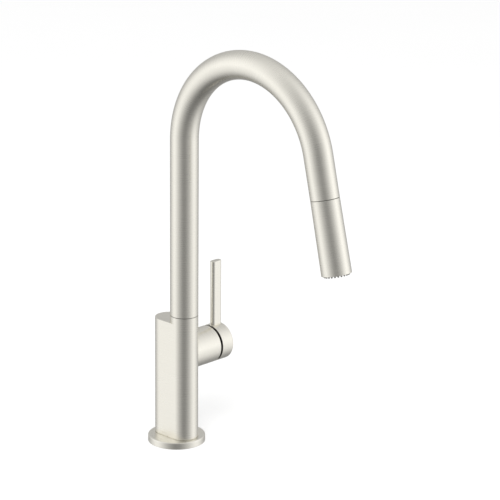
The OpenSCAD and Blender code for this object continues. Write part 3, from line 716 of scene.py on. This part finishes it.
def make_foot():
    gasket = reach("deck_gasket", AT_DECK)
    shank = reach("mounting_shank", AT_DECK)
    profile = [(0, FOOT_TOP), (FOOT_R, FOOT_TOP), (FOOT_R, 0)]
    profile += [(gasket.outer + PLAY, 0), (gasket.outer + PLAY, gasket.high)]
    profile += [(gasket.inner - PLAY, gasket.high), (gasket.inner - PLAY, 0)]
    profile += [(shank.outer + PLAY, 0), (shank.outer + PLAY, shank.high), (0, shank.high)]
    bm = lathe(profile, SIZES.rounds, SIZES.foot_edge, 5, flush(FOOT_TOP))

    def lower_rim(edge):
        return flush(0)(edge) and all(math.hypot(v.co.x, v.co.y) > FOOT_R - PLAY for v in edge.verts)

    soften(bm, SIZES.edge, only=lower_rim)
    foot = finished("foot_plate", bm, "base_flange", AT_DECK, "root", "brushed_nickel", FOOT_R)
    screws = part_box("base_screws")[1]
    head_r, head_h = screws.x, 3.2 * MM
    away = screws.y - head_r
    spots = [(0, -away), (0, away)]
    carved(foot, drill(head_r + PLAY, -10 * MM, head_h + PLAY, spots), AT_DECK)
    ring_piece("deck_gasket", "deck_seal", AT_DECK, "root", "rubber", 0.4 * MM)
    screw_pair("column_screws", "base_screws", spots, 0, head_r, head_h, thread_r=2 * MM)


# ---------- clamp below the deck ----------


def make_shank():
    low, high, inner, outer = reach("mounting_shank", AT_DECK)
    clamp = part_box("rubber_washer")[1].z
    thread_r = reach("rubber_washer", AT_DECK).inner - FIT
    neck, top = 0.5 * MM, high - FIT
    profile = [(inner, low), (thread_r - 0.9 * MM, low)]
    profile += threaded(thread_r, low + 0.4 * MM, clamp - 0.2 * MM, SIZES.thread_pitch, 0.8 * MM)
    profile += [(thread_r - 0.8 * MM, clamp), (outer, clamp), (outer, neck), (thread_r, neck)]
    profile += [(thread_r, top), (inner, top), (inner, low)]
    bm = lathe(profile, 96)
    finished("threaded_shank", bm, "mounting_shank", AT_DECK, "root", "brass", outer, even=False)


def make_clamp():
    ring_piece("rubber_washer", "soft_washer", AT_DECK, "root", "rubber", 0.6 * MM)
    ring_piece("steel_washer", "pressure_washer", AT_DECK, "root", "steel", 0.3 * MM)
    nut = ring_piece("mounting_nut", "clamp_nut", AT_DECK, "root", "brass", 0.8 * MM)
    low, high, _, outer = reach("mounting_nut", AT_DECK)
    jack_low, jack_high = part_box("jack_screws")
    head_r = jack_high.y
    away = jack_high.x - head_r
    spots = [(-away, 0), (away, 0)]
    bolt_r = 2.5 * MM
    below, above = low - 10 * MM, high + 10 * MM
    carved(nut, drill(bolt_r, below, above, spots), AT_DECK)
    notches = round_places(outer + 2.5 * MM, 6, math.radians(30))
    carved(nut, drill(5 * MM, below, above, notches), AT_DECK)
    screw_pair("clamp_screws", "jack_screws", spots, jack_low.z, head_r, head_h=4 * MM, thread_r=bolt_r - FIT)


def make_coupling():
    low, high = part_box("hose_coupling")
    radius = high.x * HALF_SIXTH
    long = high.z - low.z
    bm = bmesh.new()
    six_sided(bm, 2 * radius, 0, long * 0.6)
    tail, groove = radius * 0.98, radius * 0.98 - 0.5 * MM
    steps = ((0, 0.5), (tail, 0.5), (tail, 0.7), (groove, 0.72), (groove, 0.78), (tail, 0.8), (tail, 1), (0, 1))
    added(bm, lathe([(r, long * z) for r, z in steps], SMALL_ROUNDS, 0.2 * MM))
    place = Matrix.Translation((0, (low.y + high.y) / 2, low.z))
    finished("hose_fitting", bm, "hose_coupling", place, "root", "brass", radius)


# ---------- spout ----------


def along_spout(co):
    """A point on the spout as its sideways, outward and lengthwise places."""
    past = co - ARCH_CENTRE
    if past.z <= 0 and past.y > 0:
        return co.x, co.y - SWIVEL.y, co.z
    turn = math.atan2(past.z, past.y) % math.tau
    if turn <= ARCH_TURN:
        return co.x, math.hypot(past.y, past.z) - ARCH_R, ARCH_Z + ARCH_R * turn
    tip = AT_TIP.inverted() @ co
    return co.x, -tip.y, ARCH_Z + ARCH_R * ARCH_TURN + TIP_LEN - tip.z


def swept(bm, radius, rounds, low, turns, tip_len):
    """Sweeps a circle from height low up the spout and over its arch, and returns its end loops."""
    ring = bmesh.ops.create_circle(bm, segments=rounds, radius=radius)["verts"]
    bmesh.ops.translate(bm, verts=ring, vec=(0, SWIVEL.y, low))
    first = edges_of(ring)
    risen = extruded(bm, first, (0, 0, ARCH_Z - low))[1]
    made = bmesh.ops.spin(bm, geom=risen, cent=ARCH_CENTRE, axis=(1, 0, 0), angle=ARCH_TURN, steps=turns)
    last = [g for g in made["geom_last"] if isinstance(g, bmesh.types.BMEdge)]
    if tip_len:
        last = extruded(bm, last, -tip_len * TIP_UP)[1]
    return first, last


def make_spout():
    bm = bmesh.new()
    skins = (TUBE_R, TUBE_R - SIZES.tube_wall)
    ends = [swept(bm, radius, SIZES.rounds, TUBE_LOW.z, turns=96, tip_len=TIP_LEN) for radius in skins]
    for outer, inner in zip(*ends):
        bmesh.ops.bridge_loops(bm, edges=outer + inner)
    outward(bm)
    soften(bm, 0.3 * MM)
    finished("gooseneck", bm, "spout_tube", AT_DECK, "spout", "brushed_nickel", TUBE_R, along_spout)
    ring_piece("thrust_washer", "seam_ring", AT_SPOUT, "root", "black_plastic", 0.1 * MM)


# ---------- hose ----------


def braided_hose(name, bm, node, body, along, laid, turn):
    """Finishes a hose: braids it where laid gives a place along the braid, and leaves it smooth elsewhere."""
    outward(bm)
    layer = bm.verts.layers.float.new("weave")
    for v in bm.verts:
        x, y, s = along(v.co)
        s = laid(s)
        if s is None:
            v[layer] = 0.5
            continue
        # The strand height also sets the braid's colour: painted shade in the dips, painted light on the raised
        # strands.
        v[layer] = strand_height(math.atan2(y, x), s)
        v.co -= (turn @ Vector((x, y, 0))).normalized() * SIZES.braid_lift * (1 - v[layer])
    return finished(name, bm, node, AT_DECK, body, "braided_hose", HOSE_R, along, even=False)


def strand_height(turn, s):
    """How high the braid stands at a turn round the hose and a place s along it, from 0 to 1."""
    count, phase = SIZES.braid_count, math.tau * s / SIZES.braid_pitch
    left = 0.5 + 0.5 * math.cos(count * (turn + phase))
    right = 0.5 + 0.5 * math.cos(count * (turn - phase))
    over = 0.5 + 0.5 * math.cos(count * phase)
    return max(left**0.6 * (0.6 + 0.4 * over), right**0.6 * (1.0 - 0.4 * over))


def drawn(bm, place, steps):
    """A closed hose from a circle in a placing matrix, extruded by each of the steps."""
    bmesh.ops.create_circle(bm, segments=SMALL_ROUNDS, radius=HOSE_R, matrix=place)
    last = list(bm.edges)
    closed(bm, last)
    for step in steps:
        last = extruded(bm, last, step)[1]
    closed(bm, last)


def make_hose():
    """The braided hose in the spout, and the stretch of it that the wand draws out, evenly braided once it is out."""
    zone = TIP_LEN - reach("hose_ferrule", AT_TIP).high
    pull = JOINTS["wand_pull"]["range_m"][1]
    smooth_to = along_spout(ARCH_END)[2]
    turn = AT_TIP.to_3x3() @ Matrix.Diagonal((1, -1, 1))

    def pulled(s):
        """Where a point s beyond the arch lies once the wand is out."""
        t = min(max(s / zone, 0), 1)
        return s + pull * t * t * (3 - 2 * t)

    def laid(s):
        return pulled(s - smooth_to) if s - smooth_to >= NEAR else None

    bm = bmesh.new()
    closed(bm, *swept(bm, HOSE_R, SMALL_ROUNDS, reach("upper_hose", AT_SPOUT).low, turns=40, tip_len=0))
    braided_hose("hose_in_spout", bm, "upper_hose", "spout", along_spout, laid, turn)

    rings = 340
    places = [0.0]
    for i in range(1, rings):
        before, after = places[-1], zone
        for _ in range(40):
            middle = (before + after) / 2
            if pulled(middle) < pulled(zone) * i / rings:
                before = middle
            else:
                after = middle
        places.append(before)
    places += [zone, zone + 1.5 * MM]
    bm = bmesh.new()
    steps = [(before - after) * TIP_UP for before, after in zip(places[:-1], places[1:])]
    drawn(bm, frame_at(ARCH_END, TIP_UP), steps)
    hose = braided_hose("wand_hose", bm, "upper_hose", None, along_spout, laid, turn)
    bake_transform(hose)


def make_column_hose():
    """The hose's still stretch, from its lower fitting up through shank and column."""
    bend = max(point.z for point in corners("lower_hose") if point.y > HOSE_HIGH.y - 0.05 * MM)
    foot = Vector((0, HOSE_HIGH.y - HOSE_R, HOSE_LOW.z))
    knee = Vector((0, foot.y, bend))
    top = Vector((0, SWIVEL.y, HOSE_HIGH.z - 0.3 * MM))
    steps = []
    for start, stop in ((foot, knee), (knee, top)):
        count = round((stop - start).length / (0.7 * MM))
        steps += [(stop - start) / count] * count

    def along(co):
        lean = max(0, (co.z - knee.z) / (top.z - knee.z))
        return co.x, co.y - foot.y - lean * (top.y - foot.y), co.z

    bm = bmesh.new()
    drawn(bm, Matrix.Translation(foot), steps)
    braided_hose("hose_in_column", bm, "lower_hose", "root", along, lambda s: s, Matrix.Identity(3))


def make_hose_end():
    low, high, _, outer = reach("hose_ferrule", AT_TIP)
    cup, groove = HOSE_R + 0.15 * MM, outer - 0.5 * MM
    profile = [(0, low), (outer, low), (outer, low + 1.6 * MM)]
    for i in range(3):
        start = low + (2.2 + 2.2 * i) * MM
        profile += [(groove, start), (groove, start + 0.8 * MM)]
        profile += [(outer, start + 1.2 * MM), (outer, start + 1.6 * MM)]
    profile += [(outer, high), (cup, high), (cup, high - 2 * MM), (0, high - 2 * MM)]
    turned_piece("crimped_ferrule", profile, "hose_ferrule", AT_TIP, "hose_end", "steel", 0.15 * MM)

    low, high, _, corner = reach("hose_nut", AT_TIP)
    apothem = corner * HALF_SIXTH
    neck_r, neck = apothem - 0.2 * MM, (low + high) / 2
    start = neck - 1 * MM
    bm = bmesh.new()
    six_sided(bm, 2 * apothem, low, neck)
    added(bm, lathe([(0, start), (neck_r, start), (neck_r, high), (0, high)], SMALL_ROUNDS, 0.4 * MM))
    finished("swivel_nut", bm, "hose_nut", AT_TIP, "hose_end", "brass", apothem)


def make_dock():
    low, high, inner, outer = reach("docking_collar", AT_TIP)
    profile = [(inner, low + 1.2 * MM), (outer - 0.5 * MM, low), (outer, low + 0.3 * MM), (outer, high)]
    profile += [(inner, high), (inner, low + 1.2 * MM)]
    turned_piece("dock_collar", profile, "docking_collar", AT_TIP, "spout", "black_plastic", 0.2 * MM)
    ring_piece("dock_magnet", "dock_magnet_ring", AT_TIP, "spout", "steel", 0.3 * MM)
    low, high, inner, outer = reach("docking_insert", AT_TIP)
    shelf = reach("wand_shell", AT_TIP).high
    floor = shelf - 1 * MM
    magnet = reach("wand_magnet", AT_TIP)
    profile = [(inner, low), (outer, low), (outer, shelf), (magnet.outer, shelf), (magnet.outer, high)]
    profile += [(magnet.inner, high), (magnet.inner, floor), (inner, floor), (inner, low)]
    turned_piece("dock_plug", profile, "docking_insert", AT_TIP, "wand", "black_plastic", 0.25 * MM)
    ring_piece("wand_magnet", "wand_magnet_ring", AT_TIP, "wand", "steel", 0.5 * MM)


# ---------- spray wand ----------


def button_place():
    """The button's place, with z out of the wand and y down it, and its width and length."""
    low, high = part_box("spray_button")
    down, up = reach("spray_button", AT_TIP)[:2]
    place = AT_TIP @ Matrix.Translation((0, 0, (down + up) / 2)) @ Matrix.Rotation(math.radians(-90), 4, "X")
    return place, high.x - low.x, up - down


def make_wand():
    low, high, inner, outer = reach("wand_shell", AT_TIP)
    wall = TUBE_R - inner
    profile = [(inner, high), (TUBE_R, high), (outer, low), (outer - wall, low), (inner, high)]
    shell = turned_piece("wand_skin", profile, "wand_shell", AT_TIP, "wand", "brushed_nickel", 0.3 * MM)
    place, width, long = button_place()
    play = 0.3 * MM
    bm = bmesh.new()
    edges = oval_loop(bm, width + 2 * play, long + 2 * play, 5 * MM)[1]
    closed(bm, edges, extruded(bm, edges, (0, 0, 15 * MM))[1])
    bmesh.ops.recalc_face_normals(bm, faces=bm.faces)
    carved(shell, bm, place)


def make_button():
    """The button's curved top runs down over a rounded edge, ring by ring."""
    place, width, long = button_place()
    inner, outer = reach("spray_button", AT_TIP)[2:]
    edge = SIZES.button_edge
    bm = bmesh.new()
    last = oval_loop(bm, width, long, inner)[1]
    closed(bm, last)
    for step in (0, 0.04, 0.15, 0.31, 0.55, 0.8, 1.0, 1.8, 3.2, 4.8, 6.6):
        inset = step * edge
        verts, loop = oval_loop(bm, width - 2 * inset, long - 2 * inset)
        drop = edge - math.sqrt(max(0.0, edge**2 - max(0.0, edge - inset) ** 2))
        for v in verts:
            v.co.z = math.sqrt(outer**2 - v.co.x**2) - drop
        bmesh.ops.bridge_loops(bm, edges=last + loop)
        last = loop
    closed(bm, last)
    outward(bm)
    finished("button", bm, "spray_button", place, "button", "brushed_nickel", outer, lambda co: (co.x, co.z, co.y))


def make_spray_face():
    low, high, inner, outer = reach("spray_face", AT_TIP)
    membrane = reach("nozzle_membrane", AT_TIP)
    tip, nozzle_r, hole = membrane.low, 1.0 * MM, 0.34 * MM
    face = ring_piece("spray_face", "face_plate", AT_TIP, "wand", "brushed_nickel", 0.15 * MM)
    spots = round_places(outer - nozzle_r - 0.2 * MM, SIZES.nozzles, SIZES.nozzle_turn)
    carved(face, drill(nozzle_r + FIT, low - 5 * MM, high + 5 * MM, spots), AT_TIP)
    bm = lathe(ring_profile(high, membrane.high, inner, outer), SIZES.rounds)
    profile = [(0, high), (nozzle_r, high), (nozzle_r, low), (nozzle_r * 0.78, tip + 0.3 * MM)]
    profile += [(nozzle_r * 0.66, tip), (hole, tip), (hole, tip + 1.0 * MM), (0, tip + 1.0 * MM)]
    for x, y in spots:
        added(bm, lathe(profile, 24, 0.08 * MM, 2), Matrix.Translation((x, y, 0)))
    finished("nozzles", bm, "nozzle_membrane", AT_TIP, "wand", "rubber", material=finish("nozzle_rubber"))
    ring_piece("aerator_case", "aerator_ring", AT_TIP, "wand", "black_plastic", 0.3 * MM)


def make_screen():
    low, high, _, outer = reach("aerator_screen", AT_TIP)
    cells = SIZES.screen_cells
    bm = bmesh.new()
    bmesh.ops.create_grid(bm, x_segments=cells, y_segments=cells, size=outer)
    beyond = [f for f in bm.faces if f.calc_center_median().length > outer - 0.35 * MM]
    bmesh.ops.delete(bm, geom=beyond, context="FACES")
    bmesh.ops.wireframe(
        bm, faces=bm.faces, thickness=0.11 * MM, offset=0, use_replace=True, use_boundary=True, use_even_offset=True
    )
    bmesh.ops.translate(bm, verts=bm.verts, vec=(0, 0, (low + high) / 2))
    added(bm, lathe(ring_profile(low, high, outer - 0.6 * MM, outer), SMALL_ROUNDS, 0.12 * MM))
    finished("aerator_mesh", bm, "aerator_screen", AT_TIP, "wand", "steel", outer, even=False)


# ---------- handle ----------


def make_hub():
    low, high, _, outer = reach("handle_cap", AT_BARREL)
    inner = outer - 2 * MM
    hollow = high - 9.5 * MM
    profile = [(inner, low), (outer, low), (outer, high), (0, high), (0, hollow), (inner, hollow), (inner, low)]
    bm = lathe(profile, SIZES.rounds, SIZES.cap_edge, 8, flush(high))
    soften(bm, SIZES.gap_edge, only=flush(low))
    hub = finished("handle_hub", bm, "handle_cap", AT_BARREL, "handle", "brushed_nickel", outer)
    near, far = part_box("set_screw_plug")
    at_stud = frame_at(((near.x + far.x) / 2, BARREL.y, BARREL.z), (0, 0, -1))
    plug_r = (far.x - near.x) / 2
    carved(hub, drill(plug_r + PLAY, inner, outer + 5 * MM), at_stud)
    profile = [(0, inner + PLAY), (plug_r, inner + PLAY), (plug_r, outer - 0.35 * MM)]
    profile += [(plug_r * 0.6, outer - 0.14 * MM), (0, outer - PLAY)]
    turned_piece("hub_plug", profile, "set_screw_plug", at_stud, "handle", "brushed_nickel", 0.15 * MM)


def make_lever():
    low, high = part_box("handle_lever")
    width, thick = high.y - low.y, high.x - low.x
    middle = Vector(((low.x + high.x) / 2, (low.y + high.y) / 2, 0))
    foot = BARREL.z + reach("handle_cap", AT_BARREL).outer - 1.5 * MM
    bm = bmesh.new()
    base = oval_loop(bm, width, thick, foot)[1]
    closed(bm, base, extruded(bm, base, (0, 0, high.z - foot))[1])
    outward(bm)
    soften(bm, SIZES.lever_edge, segments=4, only=flush(high.z))
    place = Matrix.Translation(middle) @ Matrix.Rotation(math.radians(90), 4, "Z")
    squeezed = Matrix.Diagonal((1, 0.5, 1))
    finished("lever", bm, "handle_lever", place, "handle", "brushed_nickel", width, lambda co: squeezed @ co)


def make_glide_ring():
    low, _, hole, outer = reach("glide_ring", AT_BARREL)
    nut_r = reach("retaining_nut", AT_BARREL).outer
    outer += 0.5 * MM
    end = BODY_HIGH.x
    pin_low, pin_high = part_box("stem_pin")
    pivot = (pin_low.x + pin_high.x) / 2
    dome = math.hypot(outer, end - pivot)
    profile = [(hole, low), (nut_r, low), (nut_r, end), (outer, end)]
    for i in range(1, 9):
        radius = outer + (hole - outer) * i / 8
        profile.append((radius, pivot + math.sqrt(max(dome**2 - radius**2, 0))))
    profile.append((hole, low))
    turned_piece("glide_dome", profile, "glide_ring", AT_BARREL, "root", "black_plastic", 0.1 * MM)


# ---------- studio ----------


def make_floor():
    """Pale floor: white to the camera but for the faucet's shadow, and out of the metal's reflections."""
    bm = bmesh.new()
    bmesh.ops.create_grid(bm, x_segments=1, y_segments=1, size=STUDIO.floor_size / 2)
    floor = linked("floor", bm)
    n = Finish("pale_floor")
    floor.data.materials.append(n.material)
    n.tinted(n.noise(None, (1, 1, 1), 3.0), tuple(STUDIO.floor_colour), 0.995, 1.005)
    n.put("Roughness", 0.9)
    n.put("Specular IOR Level", 0.0)
    n.put("Emission Color", (1, 1, 1, 1))
    rays = n.add("ShaderNodeLightPath").outputs
    n.link(n.maths("MULTIPLY", rays["Is Camera Ray"], STUDIO.floor_glow), n.shader.inputs["Emission Strength"])
    clear = n.add("ShaderNodeBsdfTransparent").outputs["BSDF"]
    mixed = n.filled(n.add("ShaderNodeMixShader"), rays["Is Glossy Ray"])["Shader"]
    n.link(n.shader.outputs["BSDF"], mixed.node.inputs[1])
    n.link(clear, mixed.node.inputs[2])
    n.link(mixed, n.surface)


ROUND_LIGHT = [
    (180, 0.49), (157, 0.485), (142, 0.55), (127, 0.755), (112, 0.99), (97, 1.19), (83, 1.27), (68, 1.07), (53, 0.84),
    (38, 0.60), (23, 0.425), (8, 0.293), (0, 0.285),
]
ROUND_LIGHT_SCALE = 1.5
CEILING = 0.78
GROUND = 0.165
HIGH_LIGHT = [
    (-90, 1.0), (-78, 1.0), (-65, 0.85), (-55, 0.64), (-45, 0.47), (-35, 0.31), (-25, 0.22), (-17, 0.16), (-5, 0.07),
    (0, 0.0), (5, 0.04), (15, 0.1), (25, 0.24), (35, 0.38), (45, 0.54), (55, 0.67), (68, 0.82), (90, 1.0),
]


def ramp(n, source, stops):
    """A grey ramp through (place, value) stops."""
    node = n.add("ShaderNodeValToRGB")
    strip = node.color_ramp
    while len(strip.elements) < len(stops):
        strip.elements.new(0.5)
    for element, (place, value) in zip(strip.elements, stops):
        element.position = place
        element.color = (value, value, value, 1)
    return n.filled(node, source)["Color"]


def make_walls():
    """Studio walls: dark behind the camera, bright at both sides; plain ambient light for all else."""
    world = bpy.data.worlds.new("studio_walls")
    bpy.context.scene.world = world
    n = Nodes(world, "ShaderNodeOutputWorld")
    towards = n.add("ShaderNodeTexCoord").outputs["Generated"]
    flat = n.vector("NORMALIZE", n.vector("MULTIPLY", towards, (1, 1, 0))["Vector"])["Vector"]
    front = (math.sin(STUDIO.camera_turn), -math.cos(STUDIO.camera_turn), 0)
    facing = n.maths("MULTIPLY_ADD", n.vector("DOT_PRODUCT", flat, front)["Value"], 0.5, 0.5)
    split = n.filled(n.add("ShaderNodeSeparateXYZ"), towards)
    height = n.maths("MULTIPLY_ADD", split["Z"], 0.5, 0.5)

    stops = [((math.cos(math.radians(turn)) + 1) / 2, value / ROUND_LIGHT_SCALE) for turn, value in ROUND_LIGHT]
    around = ramp(n, facing, stops)
    plain, even = [], []
    for up, part in HIGH_LIGHT:
        place = (math.sin(math.radians(up)) + 1) / 2
        plain.append((place, 1 - part))
        even.append((place, part * (CEILING if up > 0 else GROUND)))
    walls = n.maths("MULTIPLY", n.maths("MULTIPLY", around, ramp(n, height, plain)), ROUND_LIGHT_SCALE)
    walls = n.maths("ADD", walls, ramp(n, height, even))

    rays = n.add("ShaderNodeLightPath").outputs
    mirrored = n.maths("MULTIPLY", rays["Is Glossy Ray"], walls)
    spread = n.maths("MULTIPLY", n.maths("SUBTRACT", 1.0, rays["Is Glossy Ray"]), STUDIO.ambient)
    unseen = n.maths("MULTIPLY", n.maths("SUBTRACT", 1.0, rays["Is Camera Ray"]), n.maths("ADD", mirrored, spread))
    seen = n.maths("MULTIPLY", rays["Is Camera Ray"], STUDIO.backdrop)
    background = n.add("ShaderNodeBackground")
    n.link(n.filled(background, (1, 1, 1, 1), n.maths("ADD", unseen, seen))["Background"], n.surface)


def make_lamp():
    lamp = bpy.data.lights.new("soft_box", "AREA")
    lamp.shape = "DISK"
    lamp.size = 1.6
    lamp.energy = STUDIO.key
    box = linked("soft_box", lamp)
    place, aim = Vector((-1.1, -0.9, 2.2)), Vector((0, -0.08, 0.2))
    box.matrix_world = frame_at(place, place - aim)
    box.visible_glossy = False


def make_camera():
    """The camera that looks down past the faucet's lever side."""
    turn, tilt, roll = STUDIO.camera_turn, STUDIO.camera_tilt, STUDIO.camera_roll
    away, yaw = STUDIO.camera_away, turn + STUDIO.camera_pan
    place = Vector((math.sin(turn) * away, -math.cos(turn) * away, STUDIO.camera_height))
    back = Vector((math.sin(yaw) * math.cos(tilt), -math.cos(yaw) * math.cos(tilt), math.sin(tilt)))
    right = Vector((math.cos(yaw), math.sin(yaw), 0))
    up = back.cross(right)
    across = math.cos(roll) * right + math.sin(roll) * up
    upward = -math.sin(roll) * right + math.cos(roll) * up
    lens = bpy.data.cameras.new("camera")
    lens.lens = STUDIO.lens
    lens.sensor_width = 36
    lens.clip_start = 0.05
    camera = linked("camera", lens)
    camera.matrix_world = Matrix.Translation(place) @ Matrix((across, upward, back)).transposed().to_4x4()
    bpy.context.scene.camera = camera
    bpy.context.scene.view_settings.view_transform = "Standard"


def dress_inside():
    """Gives every piece of the frame the finish of its slot."""
    for sub in frame["record"]["subparts"]:
        slot = sub["material_slot"]
        material = finish("plain").get(slot) or finish(slot)
        for place in frame["nodes"][sub["node"]].material_slots:
            place.material = material


# ---------- operators ----------


def built(*makers):
    """Runs the makers of one step with the scene's settings."""
    read_settings()
    for maker in makers:
        maker()
    return {"FINISHED"}


class BuildStep:
    """What the steps share: each can be undone."""

    bl_options = {"REGISTER", "UNDO"}


class FAUCET_OT_studio(BuildStep, bpy.types.Operator):
    """Set up the floor, the light and the camera"""

    bl_idname = "faucet.studio"
    bl_label = "Studio"

    def execute(self, context):
        return built(make_floor, make_walls, make_lamp, make_camera)


class FAUCET_OT_column(BuildStep, bpy.types.Operator):
    """Build the flat-sided column, the handle's barrel and the foot plate"""

    bl_idname = "faucet.column"
    bl_label = "Column and Foot"

    def execute(self, context):
        return built(make_column, make_barrel, make_foot)


class FAUCET_OT_clamp(BuildStep, bpy.types.Operator):
    """Build the threaded shank, its clamp and the hose fitting below the deck"""

    bl_idname = "faucet.clamp"
    bl_label = "Deck Clamp"

    def execute(self, context):
        return built(make_shank, make_clamp, make_coupling)


class FAUCET_OT_spout(BuildStep, bpy.types.Operator):
    """Sweep the gooseneck and turn its seam ring"""

    bl_idname = "faucet.spout"
    bl_label = "Gooseneck"

    def execute(self, context):
        return built(make_spout)


class FAUCET_OT_hose(BuildStep, bpy.types.Operator):
    """Braid the pull-out hose and make its ferrule, nut and docking pieces"""

    bl_idname = "faucet.hose"
    bl_label = "Hose and Dock"

    def execute(self, context):
        return built(make_hose, make_column_hose, make_hose_end, make_dock)


class FAUCET_OT_wand(BuildStep, bpy.types.Operator):
    """Turn the spray wand and make its button, face, nozzles and aerator"""

    bl_idname = "faucet.wand"
    bl_label = "Spray Wand"

    def execute(self, context):
        return built(make_wand, make_button, make_spray_face, make_screen)


class FAUCET_OT_handle(BuildStep, bpy.types.Operator):
    """Make the handle's hub, lever, plug and glide ring"""

    bl_idname = "faucet.handle"
    bl_label = "Handle"

    def execute(self, context):
        return built(make_hub, make_lever, make_glide_ring)


class FAUCET_OT_inside(BuildStep, bpy.types.Operator):
    """Give the cartridge, bearings and other inner pieces their finishes"""

    bl_idname = "faucet.inside"
    bl_label = "Inner Pieces"

    def execute(self, context):
        return built(dress_inside)


STEPS = (
    FAUCET_OT_studio,
    FAUCET_OT_column,
    FAUCET_OT_clamp,
    FAUCET_OT_spout,
    FAUCET_OT_hose,
    FAUCET_OT_wand,
    FAUCET_OT_handle,
    FAUCET_OT_inside,
)


class FAUCET_PT_steps(bpy.types.Panel):
    """Lists the faucet's steps and settings in the sidebar"""

    bl_idname = "FAUCET_PT_steps"
    bl_label = "Pull Down Faucet"
    bl_space_type = "VIEW_3D"
    bl_region_type = "UI"
    bl_category = "Faucet"

    def draw(self, context):
        for step in STEPS:
            self.layout.operator(step.bl_idname)
        for group in (getattr(context.scene, name) for name in SETTINGS):
            box = self.layout.box()
            for name in group.bl_rna.properties.keys():
                if name not in ("rna_type", "name"):
                    box.prop(group, name)


SETTINGS = {"faucet_finish": FaucetFinish, "faucet_sizes": FaucetSizes, "faucet_studio": FaucetStudio}
CLASSES = (*SETTINGS.values(), *STEPS, FAUCET_PT_steps)


def register():
    for cls in CLASSES:
        bpy.utils.register_class(cls)
    for name, group in SETTINGS.items():
        setattr(bpy.types.Scene, name, PointerProperty(type=group))


def unregister():
    for name in SETTINGS:
        delattr(bpy.types.Scene, name)
    for cls in reversed(CLASSES):
        bpy.utils.unregister_class(cls)


def main():
    register()
    for step in STEPS:
        getattr(bpy.ops.faucet, step.bl_idname.split(".")[1])()


if __name__ == "__main__":
    main()
